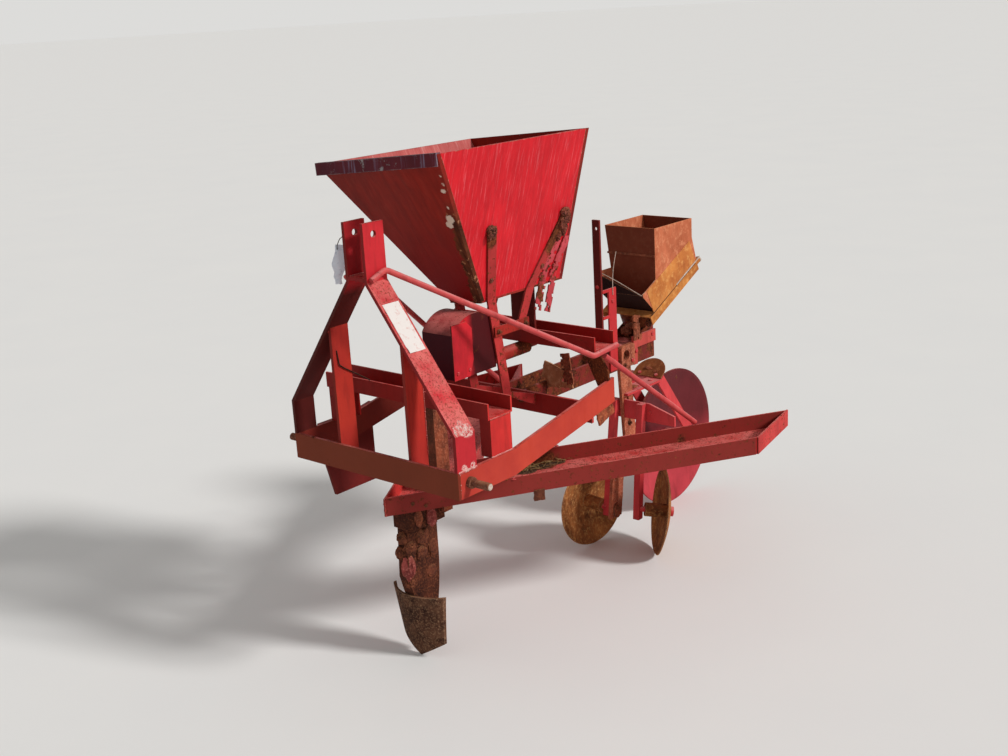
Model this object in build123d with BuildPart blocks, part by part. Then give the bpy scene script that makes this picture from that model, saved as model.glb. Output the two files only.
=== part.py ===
# Single-row crop planter for a three-point hitch, with a board fertilizer hopper.
# Millimetres. X to the right, Y rearward, Z up. The origin is on the ground, under the
# middle of the planter's box. Every Y below is measured from the front bar's front face.
from build123d import *
from math import cos, radians, sin, sqrt, tan
import os

os.makedirs("parts", exist_ok=True)

# Flat bar stock and the gap left at a curved seat
bar_width = 76.0
bar_thickness = 10.0
seat = 0.2

# Hitch frame
frame_half_width = 326.0
bar_bottom = 608.0
rail_level_end = 232.0
rail_end = 705.0
rail_rise = 86.0
pin_y = 45.0
pin_z = 648.0
pin_radius = 11.0
pin_length = 60.0
collar_radius = 16.0
collar_length = 12.0

# Mast
mast_top = 1328.0
mast_gap = 62.0
mast_bend_high = 1168.0
mast_bend_low = 785.0
mast_hole_y = 38.0
mast_hole_z = 1296.0
mast_hole_radius = 9.75
spacer_z = 1176.0
upright_x = 136.0

# Cross channels, open side up, and the posts under their ends
channel_width = 100.0
channel_height = 46.0
channel_wall = 6.0
channel_setback = 4.0
front_channel_y = 136.0
front_channel_z = 792.0
rear_channel_y = 618.0
rear_channel_z = 865.0
post_width = 86.0
post_depth = 38.0
rear_post_y = 676.0
rear_post_thickness = 8.0
rear_post_inner = 225.0
rear_post_outer = 285.0
rear_post_shoulder = 25.0
rear_post_toe = 22.0
cross_bar_y = 600.0
cross_bar_z = 652.0
cross_bar_height = 62.0

# Round brace rods
rod_radius = 8.5
rod_start_y = 8.0
rod_start_z = 1174.0
rod_top_y = 62.0
rod_top_z = 1196.0
rod_bend_ahead = 16.0
rod_bend_drop = 4.0
rod_tail = 100.0
arm_rod_start_y = 655.0
arm_rod_foot_y = 1040.0

# Low arms, open side up, swept back from a mitre on the middle plane
arm_sweep = 32.0
arm_bottom = 480.0
arm_height = 55.0
arm_width = 203.0
arm_wall = 6.0
arm_nose_y = 30.0
arm_reach = 628.0
arm_end_skew = 11.0

# Plate hung on the outside of the left rail
drop_front = 95.0
drop_toe = 137.0
drop_bottom = 443.0
drop_heel = 310.0

# Middle standard, clamp and front foot
standard_width = 34.0
standard_depth = 54.0
clamp_height = 60.0
clamp_front = 92.0
foot_thickness = 40.0
foot_tip_y = 128.0
shank_step = 8.0
shank_knee = 60.0
shank_toe_z = 40.0
heel_set = 40.0
heel_z = 62.0
calf_set = 14.0
calf_z = 170.0
calf_top_z = 300.0
shank_rear = 214.0
shovel_half_width = 103.0
shovel_shoulder_half = 83.0
shovel_top = 210.0
shovel_shoulder = 50.0
shovel_bow = 144.0
shovel_rake = -10.0
shovel_thickness = 8.0

# Fertilizer hopper of boards, in its own leaning frame
hopper_lean = 5.0
hopper_foot_x = 35.0
hopper_foot_z = 1040.0
hopper_height = 445.0
hopper_board = 14.0
hopper_top_half = 236.0
hopper_top_front = 103.0
hopper_top_rear = 751.0
hopper_foot_half = 62.0
hopper_foot_front = 385.0
hopper_foot_rear = 765.0

# Feed box, feed tube and hopper straps
sill_thickness = 6.0
sill_inset = 1.0
lip_height = 32.0
lip_thickness = 3.0
feed_half_width = 60.0
feed_front = 258.0
feed_rear = 436.0
feed_shoulder = 970.0
feed_crown = 1018.0
feed_wall = 4.0
tube_x = 30.0
tube_z = 842.0
tube_radius = 21.0
tube_bore = 17.0
tube_rear = 655.0
shaft_radius = 9.0
shaft_reach = 45.0
strap_width = 36.0
strap_thickness = 6.0
strap_top_z = 1262.0
front_strap_top_y = 375.0
front_strap_foot_y = 425.0
front_strap_bend_y = 470.0
front_strap_bend_z = 748.0
rear_strap_top_y = 715.0
rear_strap_foot_y = 602.0
rear_strap_end_y = 545.0
tie_z = 945.0
tie_height = 30.0
bearer_y = 640.0
bearer_half_width = 45.0
bearer_thickness = 8.0

# Planter unit behind the frame
beam_x = 40.0
beam_thickness = 12.0
beam_rear = 1320.0
base_thickness = 10.0
base_front = 1130.0
side_plate_front = 1186.0
side_plate_leg = 23.0
side_plate_drop = 4.0
side_plate_top = 752.0
side_plate_thickness = 8.0
opener_x = 28.0
opener_thickness = 12.0
opener_width = 64.0
opener_top_y = 1156.0
opener_waist_y = 1168.0
opener_waist_z = 565.0
opener_knee_y = 1182.0
opener_knee_z = 397.0
opener_shin_y = 1100.0
opener_shin_z = 258.0
opener_foot_y = 1081.0
opener_foot_z = 122.0
slot_top = 540.0
slot_bottom = 430.0
slot_width = 10.0
shoe_thickness = 8.0
shoe_width = 34.0
shoe_height = 52.0
bracket_front = 1107.0
bracket_rear = 1184.0
bracket_bottom = 657.0
bracket_top = 735.0
bracket_thickness = 14.0
bracket_corner = 14.0
bracket_bore = 18.0
bracket_bore_y = 1134.0
bracket_bore_z = 700.0
lever_y = 985.0
lever_width = 28.0
lever_thickness = 8.0
lever_bottom = 660.0
lever_top = 1185.0
lever_hole = 6.0
guide_y = 1055.0
guide_width = 42.0
guide_thickness = 6.0
guide_top = 944.0
link_low_z = 845.0
link_height = 10.0

# Press wheel, one dished disc on a long hub, hollow to the right
wheel_radius = 259.0
wheel_y = 1580.0
rim_x = -50.0
rim_width = 8.0
rim_height = 10.0
web_x = -86.0
web_wall = 6.0
web_flat = 80.0
hub_x = -25.0
hub_radius = 28.0
hub_half_width = 66.0
axle_radius = 12.0
axle_nut_radius = 20.0
axle_nut_width = 14.0
turning_clearance = 0.05
side_clearance = 6.0

# Yoke that carries the wheel, its tongue and the half-round plate on it
yoke_thickness = 8.0
yoke_width = 40.0
yoke_y = 1358.0
yoke_z = 552.0
yoke_foot_radius = 26.0
tongue_front = 1150.0
tongue_notch = 1212.0
tongue_left = -5.0
tongue_bottom = 548.0
scraper_x = -8.0
scraper_half_width = 61.0
scraper_start = 3.0
scraper_straight = 24.0
scraper_thickness = 4.0

# Covering discs: side, middle of the rim on X and Y, toe-out and lean in degrees,
# and the two ends on X of the bar that carries its leg
disc_radius = 155.0
disc_dish = 30.0
disc_thickness = 5.0
disc_hub_radius = 24.0
disc_hub_reach = 54.0
spindle_radius = 10.0
spindle_nut_radius = 17.0
spindle_nut_width = 10.0
spindle_gap = 5.0
leg_size = 24.0
leg_top_y = 1136.0
leg_bottom = 128.0
disc_bar_bottom = 470.0
disc_bar_height = 65.0
disc_bar_thickness = 8.0
disc_bar_taper = 30.0
disc_table = (
    ("left", -62.0, 1082.0, 8.0, 0.0, 28.0, -60.0),
    ("right", 178.0, 1150.0, 42.0, 9.0, 40.0, 245.0),
)

# Seed hopper of sheet over an open well, with a tray that slopes up to the rear
seed_half_width = 103.0
seed_front = 1264.0
seed_rear = 1494.0
seed_top = 1114.0
seed_wall = 3.0
seed_left_lean = 0.136
seed_lip_left = 966.0
seed_lip_right = 896.0
well_floor = 850.0
tray_front = 1182.0
tray_front_z = 899.0
tray_slope = 25.5
sheet_depth = 96.0
sheet_front_run = 38.0
tray_start = 7.0
tray_end = 332.0
tray_depth = 129.0
tray_wall = 4.0
pan_radius = 70.0
pan_run = 80.0
pan_depth = 160.0
knob_radius = 10.0
knob_length = 28.0
knob_x = 90.0
knob_depth = 108.0
stand_half_width = 50.0
stand_wall = 6.0
stand_front = 1214.0
gear_run = 14.0
gear_depth = 122.0
gear_root = 13.0
gear_tip = 17.0
gear_teeth = 10
gear_width = 10.0
gear_x = 80.0
gear_shaft_radius = 6.0

bar_top = bar_bottom + bar_width
channel_half_length = frame_half_width - channel_setback
rail_outer = frame_half_width
rail_inner = frame_half_width - bar_thickness
rail_slope = rail_rise / (rail_end - rail_level_end)
length = wheel_y + wheel_radius
to_origin = Location((0, -length / 2, 0))


def keep(piece, name):
    """Label a finished piece, set it about the origin and write it."""
    placed = piece.moved(to_origin)
    placed.label = name
    export_step(placed, f"parts/{name}.step")


def both_sides(pieces, name):
    """Write pieces built on the right and their mirrors on the left, as one node."""
    solids = []
    for piece in pieces:
        solids += piece.solids() + piece.mirror(Plane.YZ).solids()
    keep(Compound(solids), name)


def across(y):
    """A plane across the row at y, drawn in X and Z, with its normal to the front."""
    return Plane((0, y, 0), x_dir=(1, 0, 0), z_dir=(0, -1, 0))


def along(x):
    """A plane along the row at x, drawn in Y and Z, with its normal to the right."""
    return Plane.YZ.offset(x)


def rail_top(y):
    """Height of the side rail's top edge at y."""
    return bar_top + max(0.0, y - rail_level_end) * rail_slope


# Front bar, with the lower link pins on the side rails
with BuildPart() as front_bar:
    with BuildSketch(across(0)):
        with Locations((0, bar_bottom + bar_width / 2)):
            Rectangle(2 * frame_half_width, bar_width)
    extrude(amount=-bar_thickness)
keep(front_bar.part, "front_bar")

with BuildPart() as side_rail:
    with BuildSketch(along(rail_inner)):
        with BuildLine():
            Polyline(
                (bar_thickness, bar_bottom),
                (rail_level_end, bar_bottom),
                (rail_end, bar_bottom + rail_rise),
                (rail_end, bar_top + rail_rise),
                (rail_level_end, bar_top),
                (bar_thickness, bar_top),
                close=True,
            )
        make_face()
    extrude(amount=bar_thickness)
both_sides([side_rail.part], "side_rails")

with BuildPart() as lower_pin:
    with BuildSketch(along(rail_outer)):
        with Locations((pin_y, pin_z)):
            Circle(collar_radius)
    extrude(amount=collar_length)
    with BuildSketch(along(rail_outer + collar_length)):
        with Locations((pin_y, pin_z)):
            Circle(pin_radius)
    extrude(amount=pin_length)
    chamfer(lower_pin.edges().filter_by(GeomType.CIRCLE).sort_by(Axis.X)[-1], 2)
both_sides([lower_pin.part], "lower_pins")

# Mast: a bent flat bar each side, cranked in to the top link's clevis
mast_inner = mast_gap / 2
mast_outer = mast_inner + bar_thickness
mast_slope = (mast_bend_high - mast_bend_low) / (rail_outer - mast_outer)
mast_drop = bar_thickness * sqrt(1 + mast_slope**2)
with BuildPart() as mast:
    with BuildSketch(across(0)):
        with BuildLine():
            Polyline(
                (mast_outer, mast_top),
                (mast_outer, mast_bend_high),
                (rail_outer, mast_bend_low),
                (rail_outer, bar_top),
            )
            offset(amount=bar_thickness, side=Side.RIGHT)
        make_face()
    extrude(amount=-bar_width)
    with BuildSketch(along(0)):
        with Locations((mast_hole_y, mast_hole_z)):
            Circle(mast_hole_radius)
    extrude(amount=frame_half_width, mode=Mode.SUBTRACT)
both_sides([mast.part], "mast_bars")

with BuildPart() as mast_spacer:
    with Locations((0, bar_width / 2, spacer_z)):
        Box(mast_gap, bar_width, bar_thickness)
keep(mast_spacer.part, "mast_spacer")

with BuildPart() as inner_upright:
    with BuildSketch(across(bar_thickness)):
        inner_top = mast_bend_high - mast_drop - (upright_x - mast_outer) * mast_slope
        outer_top = inner_top - bar_thickness * mast_slope
        with BuildLine():
            Polyline(
                (upright_x, bar_bottom),
                (upright_x + bar_thickness, bar_bottom),
                (upright_x + bar_thickness, outer_top),
                (upright_x, inner_top),
                close=True,
            )
        make_face()
    extrude(amount=-(bar_width - bar_thickness))
both_sides([inner_upright.part], "inner_uprights")

# Cross channels, with a folded post under the front one and a plate under the rear one
for name, front, bottom in (
    ("front_channel", front_channel_y, front_channel_z),
    ("rear_channel", rear_channel_y, rear_channel_z),
):
    with BuildPart() as channel:
        with BuildSketch(along(-channel_half_length)):
            with Locations((front, bottom)):
                Rectangle(channel_width, channel_height, align=(Align.MIN, Align.MIN))
            with Locations((front + channel_wall, bottom + channel_wall)):
                Rectangle(
                    channel_width - 2 * channel_wall,
                    channel_height,
                    align=(Align.MIN, Align.MIN),
                    mode=Mode.SUBTRACT,
                )
        extrude(amount=2 * channel_half_length)
    keep(channel.part, name)

post_front = front_channel_y + (channel_width - post_width) / 2
post_rear = post_front + post_width
with BuildPart() as front_post:
    with BuildSketch(Plane.XY.offset(bar_bottom)):
        with Locations((channel_half_length - post_depth, post_front)):
            Rectangle(post_depth, post_width, align=(Align.MIN, Align.MIN))
        with Locations((channel_half_length - post_depth, post_front + channel_wall)):
            Rectangle(
                post_depth - channel_wall,
                post_width - 2 * channel_wall,
                align=(Align.MIN, Align.MIN),
                mode=Mode.SUBTRACT,
            )
    extrude(amount=front_channel_z - bar_bottom)
    with BuildSketch(along(0)):
        with BuildLine():
            Polyline(
                (post_front, bar_bottom),
                (post_rear, bar_bottom),
                (post_rear, rail_top(post_rear)),
                (post_front, rail_top(post_front)),
                close=True,
            )
        make_face()
    extrude(amount=frame_half_width, mode=Mode.SUBTRACT)

rear_post_z = rail_top(rear_post_y + rear_post_thickness)
with BuildPart() as rear_post:
    with BuildSketch(across(rear_post_y)):
        with BuildLine():
            Polyline(
                (rear_post_inner, rear_channel_z),
                (rear_post_outer, rear_channel_z),
                (rail_outer, rear_post_z + rear_post_shoulder),
                (rail_outer, rear_post_z),
                (rail_inner, rear_post_z),
                (rail_inner, rear_post_z - rear_post_toe),
                (rear_post_outer, rear_post_z - rear_post_toe),
                close=True,
            )
        make_face()
    extrude(amount=-rear_post_thickness)
both_sides([front_post.part, rear_post.part], "channel_posts")

with BuildPart() as cross_bar:
    with BuildSketch(across(cross_bar_y)):
        with Locations((0, cross_bar_z + cross_bar_height / 2)):
            Rectangle(2 * rail_inner, cross_bar_height)
    extrude(amount=-bar_thickness)
keep(cross_bar.part, "cross_bar")

# Brace rods, from the mast to the rear channel's end and on down to the low arm
rod_x = mast_outer + rod_radius + seat
rod_end_x = channel_half_length + rod_radius + seat
rod_bend_y = rear_channel_y - rod_bend_ahead
rod_bend_z = rear_channel_z - rod_bend_drop
with BuildPart() as brace_rod:
    with BuildLine():
        rod_line = FilletPolyline(
            (rod_x, rod_start_y, rod_start_z),
            (rod_x, rod_top_y, rod_top_z),
            (rod_end_x, rod_bend_y, rod_bend_z),
            (rod_end_x, rear_channel_y + rod_tail, rear_channel_z + rod_bend_drop),
            radius=24,
        )
    with BuildSketch(Plane(rod_line @ 0, z_dir=rod_line % 0)):
        Circle(rod_radius)
    sweep()
both_sides([brace_rod.part], "brace_rods")

# Low arms, each a wide channel with its end closed by a skewed plate
sweep_angle = radians(arm_sweep)
skew_angle = radians(arm_end_skew)
arm_axis = Vector(sin(sweep_angle), cos(sweep_angle), 0)
arm_side = Vector(-cos(sweep_angle), sin(sweep_angle), 0)
arm_plane = Plane((0, arm_nose_y, arm_bottom), x_dir=arm_side, z_dir=arm_axis)
arm_end_y = arm_nose_y + arm_reach / tan(sweep_angle)
end_plane = Plane(
    (arm_reach, arm_end_y, 0),
    x_dir=(-sin(skew_angle), cos(skew_angle), 0),
    z_dir=(cos(skew_angle), sin(skew_angle), 0),
)
end_run = arm_width / sin(sweep_angle + skew_angle)
standard_front = front_channel_y + channel_width
with BuildPart() as arm:
    with BuildSketch(arm_plane.offset(-2 * arm_width)):
        Rectangle(arm_width, arm_height, align=(Align.MIN, Align.MIN))
        with Locations((arm_wall, arm_wall)):
            Rectangle(
                arm_width - 2 * arm_wall,
                arm_height,
                align=(Align.MIN, Align.MIN),
                mode=Mode.SUBTRACT,
            )
    extrude(amount=3 * arm_reach)
    split(bisect_by=Plane.YZ, keep=Keep.TOP)
    split(bisect_by=end_plane.offset(-arm_wall), keep=Keep.BOTTOM)
    with BuildSketch(end_plane.offset(-arm_wall)):
        with Locations((0, arm_bottom)):
            Rectangle(end_run, arm_height, align=(Align.MIN, Align.MIN))
    extrude(amount=arm_wall)
    with BuildSketch(Plane.XY.offset(arm_bottom)):
        with Locations((0, standard_front + standard_depth / 2)):
            Rectangle(standard_width + 2, standard_depth + 2)
    extrude(amount=arm_wall, mode=Mode.SUBTRACT)
both_sides([arm.part], "low_arms")

# Rods that hold the low arms up, from under the brace rods' tails to the inner flanges
foot_z = arm_bottom + arm_height + rod_radius + seat
inner_flange_y = arm_nose_y + arm_width / sin(sweep_angle)
arm_rod_foot_x = (arm_rod_foot_y - inner_flange_y) * tan(sweep_angle) + arm_wall / 2
tail_rise = 2 * rod_bend_drop / (rod_tail + rod_bend_ahead)
tail_z = rod_bend_z + (arm_rod_start_y - rod_bend_y) * tail_rise
arm_rod_run = arm_rod_foot_y - arm_rod_start_y
arm_rod_fall = tail_z - foot_z - 2 * rod_radius
arm_rod_level = arm_rod_run / sqrt(arm_rod_run**2 + arm_rod_fall**2)
with BuildPart() as arm_rod:
    with BuildLine():
        arm_rod_line = Line(
            (rod_end_x, arm_rod_start_y, tail_z - rod_radius * (1 + arm_rod_level) - seat),
            (arm_rod_foot_x, arm_rod_foot_y, foot_z),
        )
    with BuildSketch(Plane(arm_rod_line @ 0, z_dir=arm_rod_line % 0)):
        Circle(rod_radius)
    sweep()
both_sides([arm_rod.part], "arm_rods")

# Middle standard, clamp and front foot
clamp_bottom = arm_bottom - clamp_height
with BuildPart() as standard:
    with Locations((0, standard_front, clamp_bottom)):
        Box(
            standard_width,
            standard_depth,
            front_channel_z + channel_height - clamp_bottom,
            align=(Align.CENTER, Align.MIN, Align.MIN),
        )
keep(standard.part, "middle_standard")

with BuildPart() as clamp:
    with BuildSketch(along(-foot_thickness)):
        with Locations((clamp_front, clamp_bottom)):
            Rectangle(
                standard_front - clamp_front, clamp_height, align=(Align.MIN, Align.MIN)
            )
    extrude(amount=2 * foot_thickness)
    fillet(clamp.edges().filter_by(Axis.Z), 10)
keep(clamp.part, "foot_clamp")

shank_half = foot_thickness / 2
inner_bow = shovel_bow - shovel_thickness
bow_at_shank = inner_bow - sqrt(inner_bow**2 - shank_half**2)
rake = radians(shovel_rake)
rake_plane = Plane(
    (0, foot_tip_y, 0), x_dir=(1, 0, 0), z_dir=(0, sin(rake), cos(rake))
)
back_offset = shovel_thickness / cos(rake) + bow_at_shank + seat
back_at_tip = foot_tip_y + back_offset
back_at_top = back_at_tip + shovel_top * tan(rake)
with BuildPart() as foot:
    with BuildSketch(along(-shank_half)):
        with BuildLine():
            Polyline(
                (shank_rear, calf_top_z),
                (shank_rear, clamp_bottom),
                (clamp_front, clamp_bottom),
                (clamp_front - shank_step, shovel_top + shank_knee),
                (back_at_top, shovel_top),
                (back_at_tip + shank_toe_z * tan(rake), shank_toe_z),
                (shank_rear - heel_set, heel_z),
            )
            ThreePointArc(
                (shank_rear - heel_set, heel_z),
                (shank_rear - calf_set, calf_z),
                (shank_rear, calf_top_z),
            )
        make_face()
    extrude(amount=foot_thickness)
keep(foot.part, "front_foot")

with BuildPart() as shovel:
    with BuildSketch(rake_plane.offset(-shovel_thickness)):
        with Locations((0, shovel_bow)):
            Circle(shovel_bow)
            Circle(inner_bow, mode=Mode.SUBTRACT)
        Rectangle(
            2 * shovel_half_width,
            shovel_bow,
            align=(Align.CENTER, Align.MIN),
            mode=Mode.INTERSECT,
        )
    extrude(amount=2 * shovel_top)
    with BuildSketch(across(foot_tip_y - shovel_half_width)):
        with BuildLine():
            Polyline(
                (0, 0),
                (shovel_shoulder_half, shovel_shoulder),
                (shovel_half_width, shovel_top),
                (-shovel_half_width, shovel_top),
                (-shovel_shoulder_half, shovel_shoulder),
                close=True,
            )
        make_face()
    extrude(amount=-4 * shovel_half_width, mode=Mode.INTERSECT)
keep(shovel.part, "shovel")

# Hopper boards: at the foot and at the top, left, right, front and rear of each board
lean = radians(hopper_lean)
hopper_plane = Plane(
    (hopper_foot_x, 0, hopper_foot_z),
    x_dir=(cos(lean), 0, sin(lean)),
    z_dir=(-sin(lean), 0, cos(lean)),
)
foot_rim = (hopper_foot_half, hopper_foot_front, hopper_foot_rear)
top_rim = (hopper_top_half, hopper_top_front, hopper_top_rear)


def board_edges(rim, name):
    """Left, right, front and rear of one board, in a rim of half width, front and rear."""
    half, front, rear = rim
    table = {
        "front": (-half, half, front, front + hopper_board),
        "rear": (-half, half, rear - hopper_board, rear),
        "right": (half - hopper_board, half, front + hopper_board, rear - hopper_board),
        "left": (-half, hopper_board - half, front + hopper_board, rear - hopper_board),
    }
    return table[name]


for name in ("front", "rear", "right", "left"):
    with BuildPart() as board:
        for height, rim in ((0, foot_rim), (hopper_height, top_rim)):
            left, right, front, rear = board_edges(rim, name)
            with BuildSketch(hopper_plane.offset(height)):
                with Locations((left, front)):
                    Rectangle(right - left, rear - front, align=(Align.MIN, Align.MIN))
        loft()
    keep(board.part, f"hopper_{name}_board")

with BuildPart() as sill:
    with BuildSketch(hopper_plane):
        with Locations((sill_inset - hopper_foot_half, hopper_foot_front)):
            Rectangle(
                2 * (hopper_foot_half - sill_inset),
                hopper_foot_rear - hopper_foot_front,
                align=(Align.MIN, Align.MIN),
            )
    extrude(amount=-sill_thickness)
keep(sill.part, "hopper_floor")

with BuildPart() as lip:
    lip_plane = Plane(
        hopper_plane.from_local_coords((-hopper_top_half, 0, hopper_height)),
        x_dir=hopper_plane.y_dir,
        z_dir=hopper_plane.x_dir,
    )
    with BuildSketch(lip_plane):
        with Locations((hopper_top_front - lip_thickness, 0)):
            Rectangle(hopper_board + lip_thickness, lip_thickness, align=(Align.MIN, Align.MIN))
        with Locations((hopper_top_front - lip_thickness, -lip_height)):
            Rectangle(lip_thickness, lip_height, align=(Align.MIN, Align.MIN))
    extrude(amount=2 * hopper_top_half)
keep(lip.part, "hopper_lip")

# Plate hung on the left rail
with BuildPart() as drop_plate:
    with BuildSketch(along(-rail_outer - bar_thickness)):
        with BuildLine():
            Polyline(
                (drop_front, bar_top),
                (drop_front, bar_bottom),
                (drop_toe, drop_bottom),
                (drop_heel, drop_bottom),
                (drop_heel, rail_top(drop_heel)),
                (rail_level_end, bar_top),
                close=True,
            )
        make_face()
    extrude(amount=bar_thickness)
keep(drop_plate.part, "left_drop_plate")

# Feed box under the hopper's front end, with the tube that runs back from it
feed_x = hopper_foot_x - feed_half_width
feed_bottom = front_channel_z + channel_height
with BuildPart() as feed_box:
    with BuildSketch(along(feed_x)):
        with BuildLine():
            Polyline(
                (feed_front, feed_shoulder),
                (feed_front, feed_bottom),
                (feed_rear, feed_bottom),
                (feed_rear, feed_shoulder),
            )
            ThreePointArc(
                (feed_rear, feed_shoulder),
                ((feed_front + feed_rear) / 2, feed_crown),
                (feed_front, feed_shoulder),
            )
        make_face()
    extrude(amount=2 * feed_half_width)
    offset(amount=-feed_wall, openings=feed_box.faces().sort_by(Axis.Z)[0])
keep(feed_box.part, "feed_box")

with BuildPart() as tube:
    with BuildSketch(across(feed_rear)):
        with Locations((tube_x, tube_z)):
            Circle(tube_radius)
            Circle(tube_bore, mode=Mode.SUBTRACT)
    extrude(amount=feed_rear - tube_rear)
    with BuildSketch(across(feed_rear)):
        with Locations((tube_x, tube_z)):
            Circle(tube_bore)
    extrude(amount=-feed_wall)
    with BuildSketch(across(feed_rear)):
        with Locations((tube_x, tube_z)):
            Circle(shaft_radius)
    extrude(amount=feed_rear - tube_rear - shaft_reach)
keep(tube.part, "feed_tube")


def board_face(side, z):
    """X of a side board's outer face at height z, side being 1 on the right and -1 on the left."""
    foot_edge = hopper_plane.from_local_coords((side * hopper_foot_half, 0, 0))
    top_edge = hopper_plane.from_local_coords((side * hopper_top_half, 0, hopper_height))
    share = (z - foot_edge.Z) / (top_edge.Z - foot_edge.Z)
    return foot_edge.X + share * (top_edge.X - foot_edge.X)


# Hopper straps, up both side boards, and the ties between them
straps = []
ties = []
for side in (1, -1):
    foot_edge = hopper_plane.from_local_coords((side * hopper_foot_half, 0, 0))
    strap_face = foot_edge.X if side > 0 else foot_edge.X - strap_thickness
    half = strap_width / 2
    with BuildPart() as front_strap:
        for z, y in ((foot_edge.Z, front_strap_foot_y), (strap_top_z, front_strap_top_y)):
            with BuildSketch(Plane.XY.offset(z)):
                with Locations((board_face(side, z) + side * strap_thickness / 2, y)):
                    Rectangle(strap_thickness, strap_width)
        loft()
        with BuildSketch(along(strap_face)):
            with BuildLine():
                Polyline(
                    (front_strap_foot_y - half, foot_edge.Z),
                    (front_strap_bend_y - half, front_strap_bend_z),
                    (cross_bar_y, front_strap_bend_z - 2 * strap_width),
                    (cross_bar_y, front_strap_bend_z - strap_width),
                    (front_strap_bend_y + half, front_strap_bend_z),
                    (front_strap_foot_y + half, foot_edge.Z),
                    close=True,
                )
            make_face()
        extrude(amount=strap_thickness)
    straps += front_strap.part.solids()

    with BuildPart() as rear_strap:
        for z, y in ((foot_edge.Z, rear_strap_foot_y), (strap_top_z, rear_strap_top_y)):
            with BuildSketch(Plane.XY.offset(z)):
                with Locations((board_face(side, z) + side * strap_thickness / 2, y)):
                    Rectangle(strap_thickness, strap_width)
        loft()
        with BuildSketch(along(strap_face)):
            with BuildLine():
                Polyline(
                    (rear_strap_foot_y - half, foot_edge.Z),
                    (rear_strap_end_y - half, tie_z - tie_height / 2),
                    (rear_strap_end_y + half, tie_z - tie_height / 2),
                    (rear_strap_foot_y + half, foot_edge.Z),
                    close=True,
                )
            make_face()
        extrude(amount=strap_thickness)
    straps += rear_strap.part.solids()

    with BuildPart() as tie:
        with BuildSketch(along(strap_face + side * strap_thickness)):
            with Locations((front_strap_foot_y, tie_z)):
                Rectangle(
                    rear_strap_end_y + strap_width - front_strap_foot_y,
                    tie_height,
                    align=(Align.MIN, Align.CENTER),
                )
        extrude(amount=strap_thickness)
    ties += tie.part.solids()
keep(Compound(straps), "hopper_straps")
keep(Compound(ties), "strap_ties")

with BuildPart() as bearer:
    with BuildSketch(across(bearer_y)):
        with Locations((hopper_foot_x, rear_channel_z + channel_wall)):
            Rectangle(
                2 * bearer_half_width, hopper_height, align=(Align.CENTER, Align.MIN)
            )
    extrude(amount=-bearer_thickness)
    split(bisect_by=hopper_plane.offset(-sill_thickness), keep=Keep.BOTTOM)
keep(bearer.part, "hopper_bearer")

# Planter unit: beams, base plate, opener standard and shoe
beam_top = cross_bar_z + cross_bar_height
beam_front = cross_bar_y + bar_thickness
beam_outer = beam_x + beam_thickness
with BuildPart() as beam:
    with Locations((beam_x, beam_front, cross_bar_z)):
        Box(
            beam_thickness,
            beam_rear - beam_front,
            cross_bar_height,
            align=(Align.MIN, Align.MIN, Align.MIN),
        )
both_sides([beam.part], "planter_beams")

with BuildPart() as base_plate:
    with Locations((0, base_front, beam_top)):
        Box(
            2 * beam_outer,
            beam_rear - base_front,
            base_thickness,
            align=(Align.CENTER, Align.MIN, Align.MIN),
        )
    with BuildSketch(along(beam_outer)):
        with BuildLine():
            Polyline(
                (side_plate_front, cross_bar_z),
                (side_plate_front + side_plate_leg, cross_bar_z),
                (side_plate_front + side_plate_leg, beam_top - side_plate_drop),
                (beam_rear, beam_top - side_plate_drop),
                (beam_rear, side_plate_top),
                (side_plate_front, side_plate_top),
                close=True,
            )
        make_face()
    extrude(amount=side_plate_thickness)
keep(base_plate.part, "base_plate")


def opener_middle(z):
    """Y of the opener standard's middle line at height z, between its waist and knee."""
    share = (z - opener_knee_z) / (opener_waist_z - opener_knee_z)
    return opener_knee_y + share * (opener_waist_y - opener_knee_y)


opener_half = opener_width / 2
with BuildPart() as opener:
    with BuildSketch(along(opener_x)):
        with BuildLine():
            Polyline(
                (opener_top_y - opener_half, beam_top),
                (opener_waist_y - opener_half, opener_waist_z),
                (opener_knee_y - opener_half, opener_knee_z),
                (opener_shin_y - opener_half, opener_shin_z),
                (opener_foot_y - opener_half, opener_foot_z),
                (opener_foot_y + opener_half, opener_foot_z),
                (opener_shin_y + opener_half, opener_shin_z),
                (opener_knee_y + opener_half, opener_knee_z),
                (opener_waist_y + opener_half, opener_waist_z),
                (opener_top_y + opener_half, beam_top),
                close=True,
            )
        make_face()
        with BuildLine():
            Polyline(
                (opener_middle(slot_top) - slot_width / 2, slot_top),
                (opener_middle(slot_bottom) - slot_width / 2, slot_bottom),
                (opener_middle(slot_bottom) + slot_width / 2, slot_bottom),
                (opener_middle(slot_top) + slot_width / 2, slot_top),
                close=True,
            )
        make_face(mode=Mode.SUBTRACT)
    extrude(amount=opener_thickness)

with BuildPart() as bracket:
    with BuildSketch(along(beam_outer)):
        with Locations((bracket_front, bracket_bottom)):
            Rectangle(
                bracket_rear - bracket_front,
                bracket_top - bracket_bottom,
                align=(Align.MIN, Align.MIN),
            )
    extrude(amount=bracket_thickness)
    fillet(bracket.edges().filter_by(Axis.X), bracket_corner)
    with BuildSketch(along(beam_outer)):
        with Locations((bracket_bore_y, bracket_bore_z)):
            Circle(bracket_bore)
    extrude(amount=bracket_thickness, mode=Mode.SUBTRACT)
keep(Compound(opener.part.solids() + bracket.part.solids()), "opener_standard")

shoe_x = opener_x + opener_thickness
with BuildPart() as shoe:
    with BuildSketch(along(shoe_x)):
        with Locations((opener_foot_y, opener_foot_z + shoe_height / 2)):
            SlotOverall(shoe_height, shoe_width, rotation=90)
    extrude(amount=shoe_thickness)
keep(shoe.part, "opener_shoe")

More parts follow.
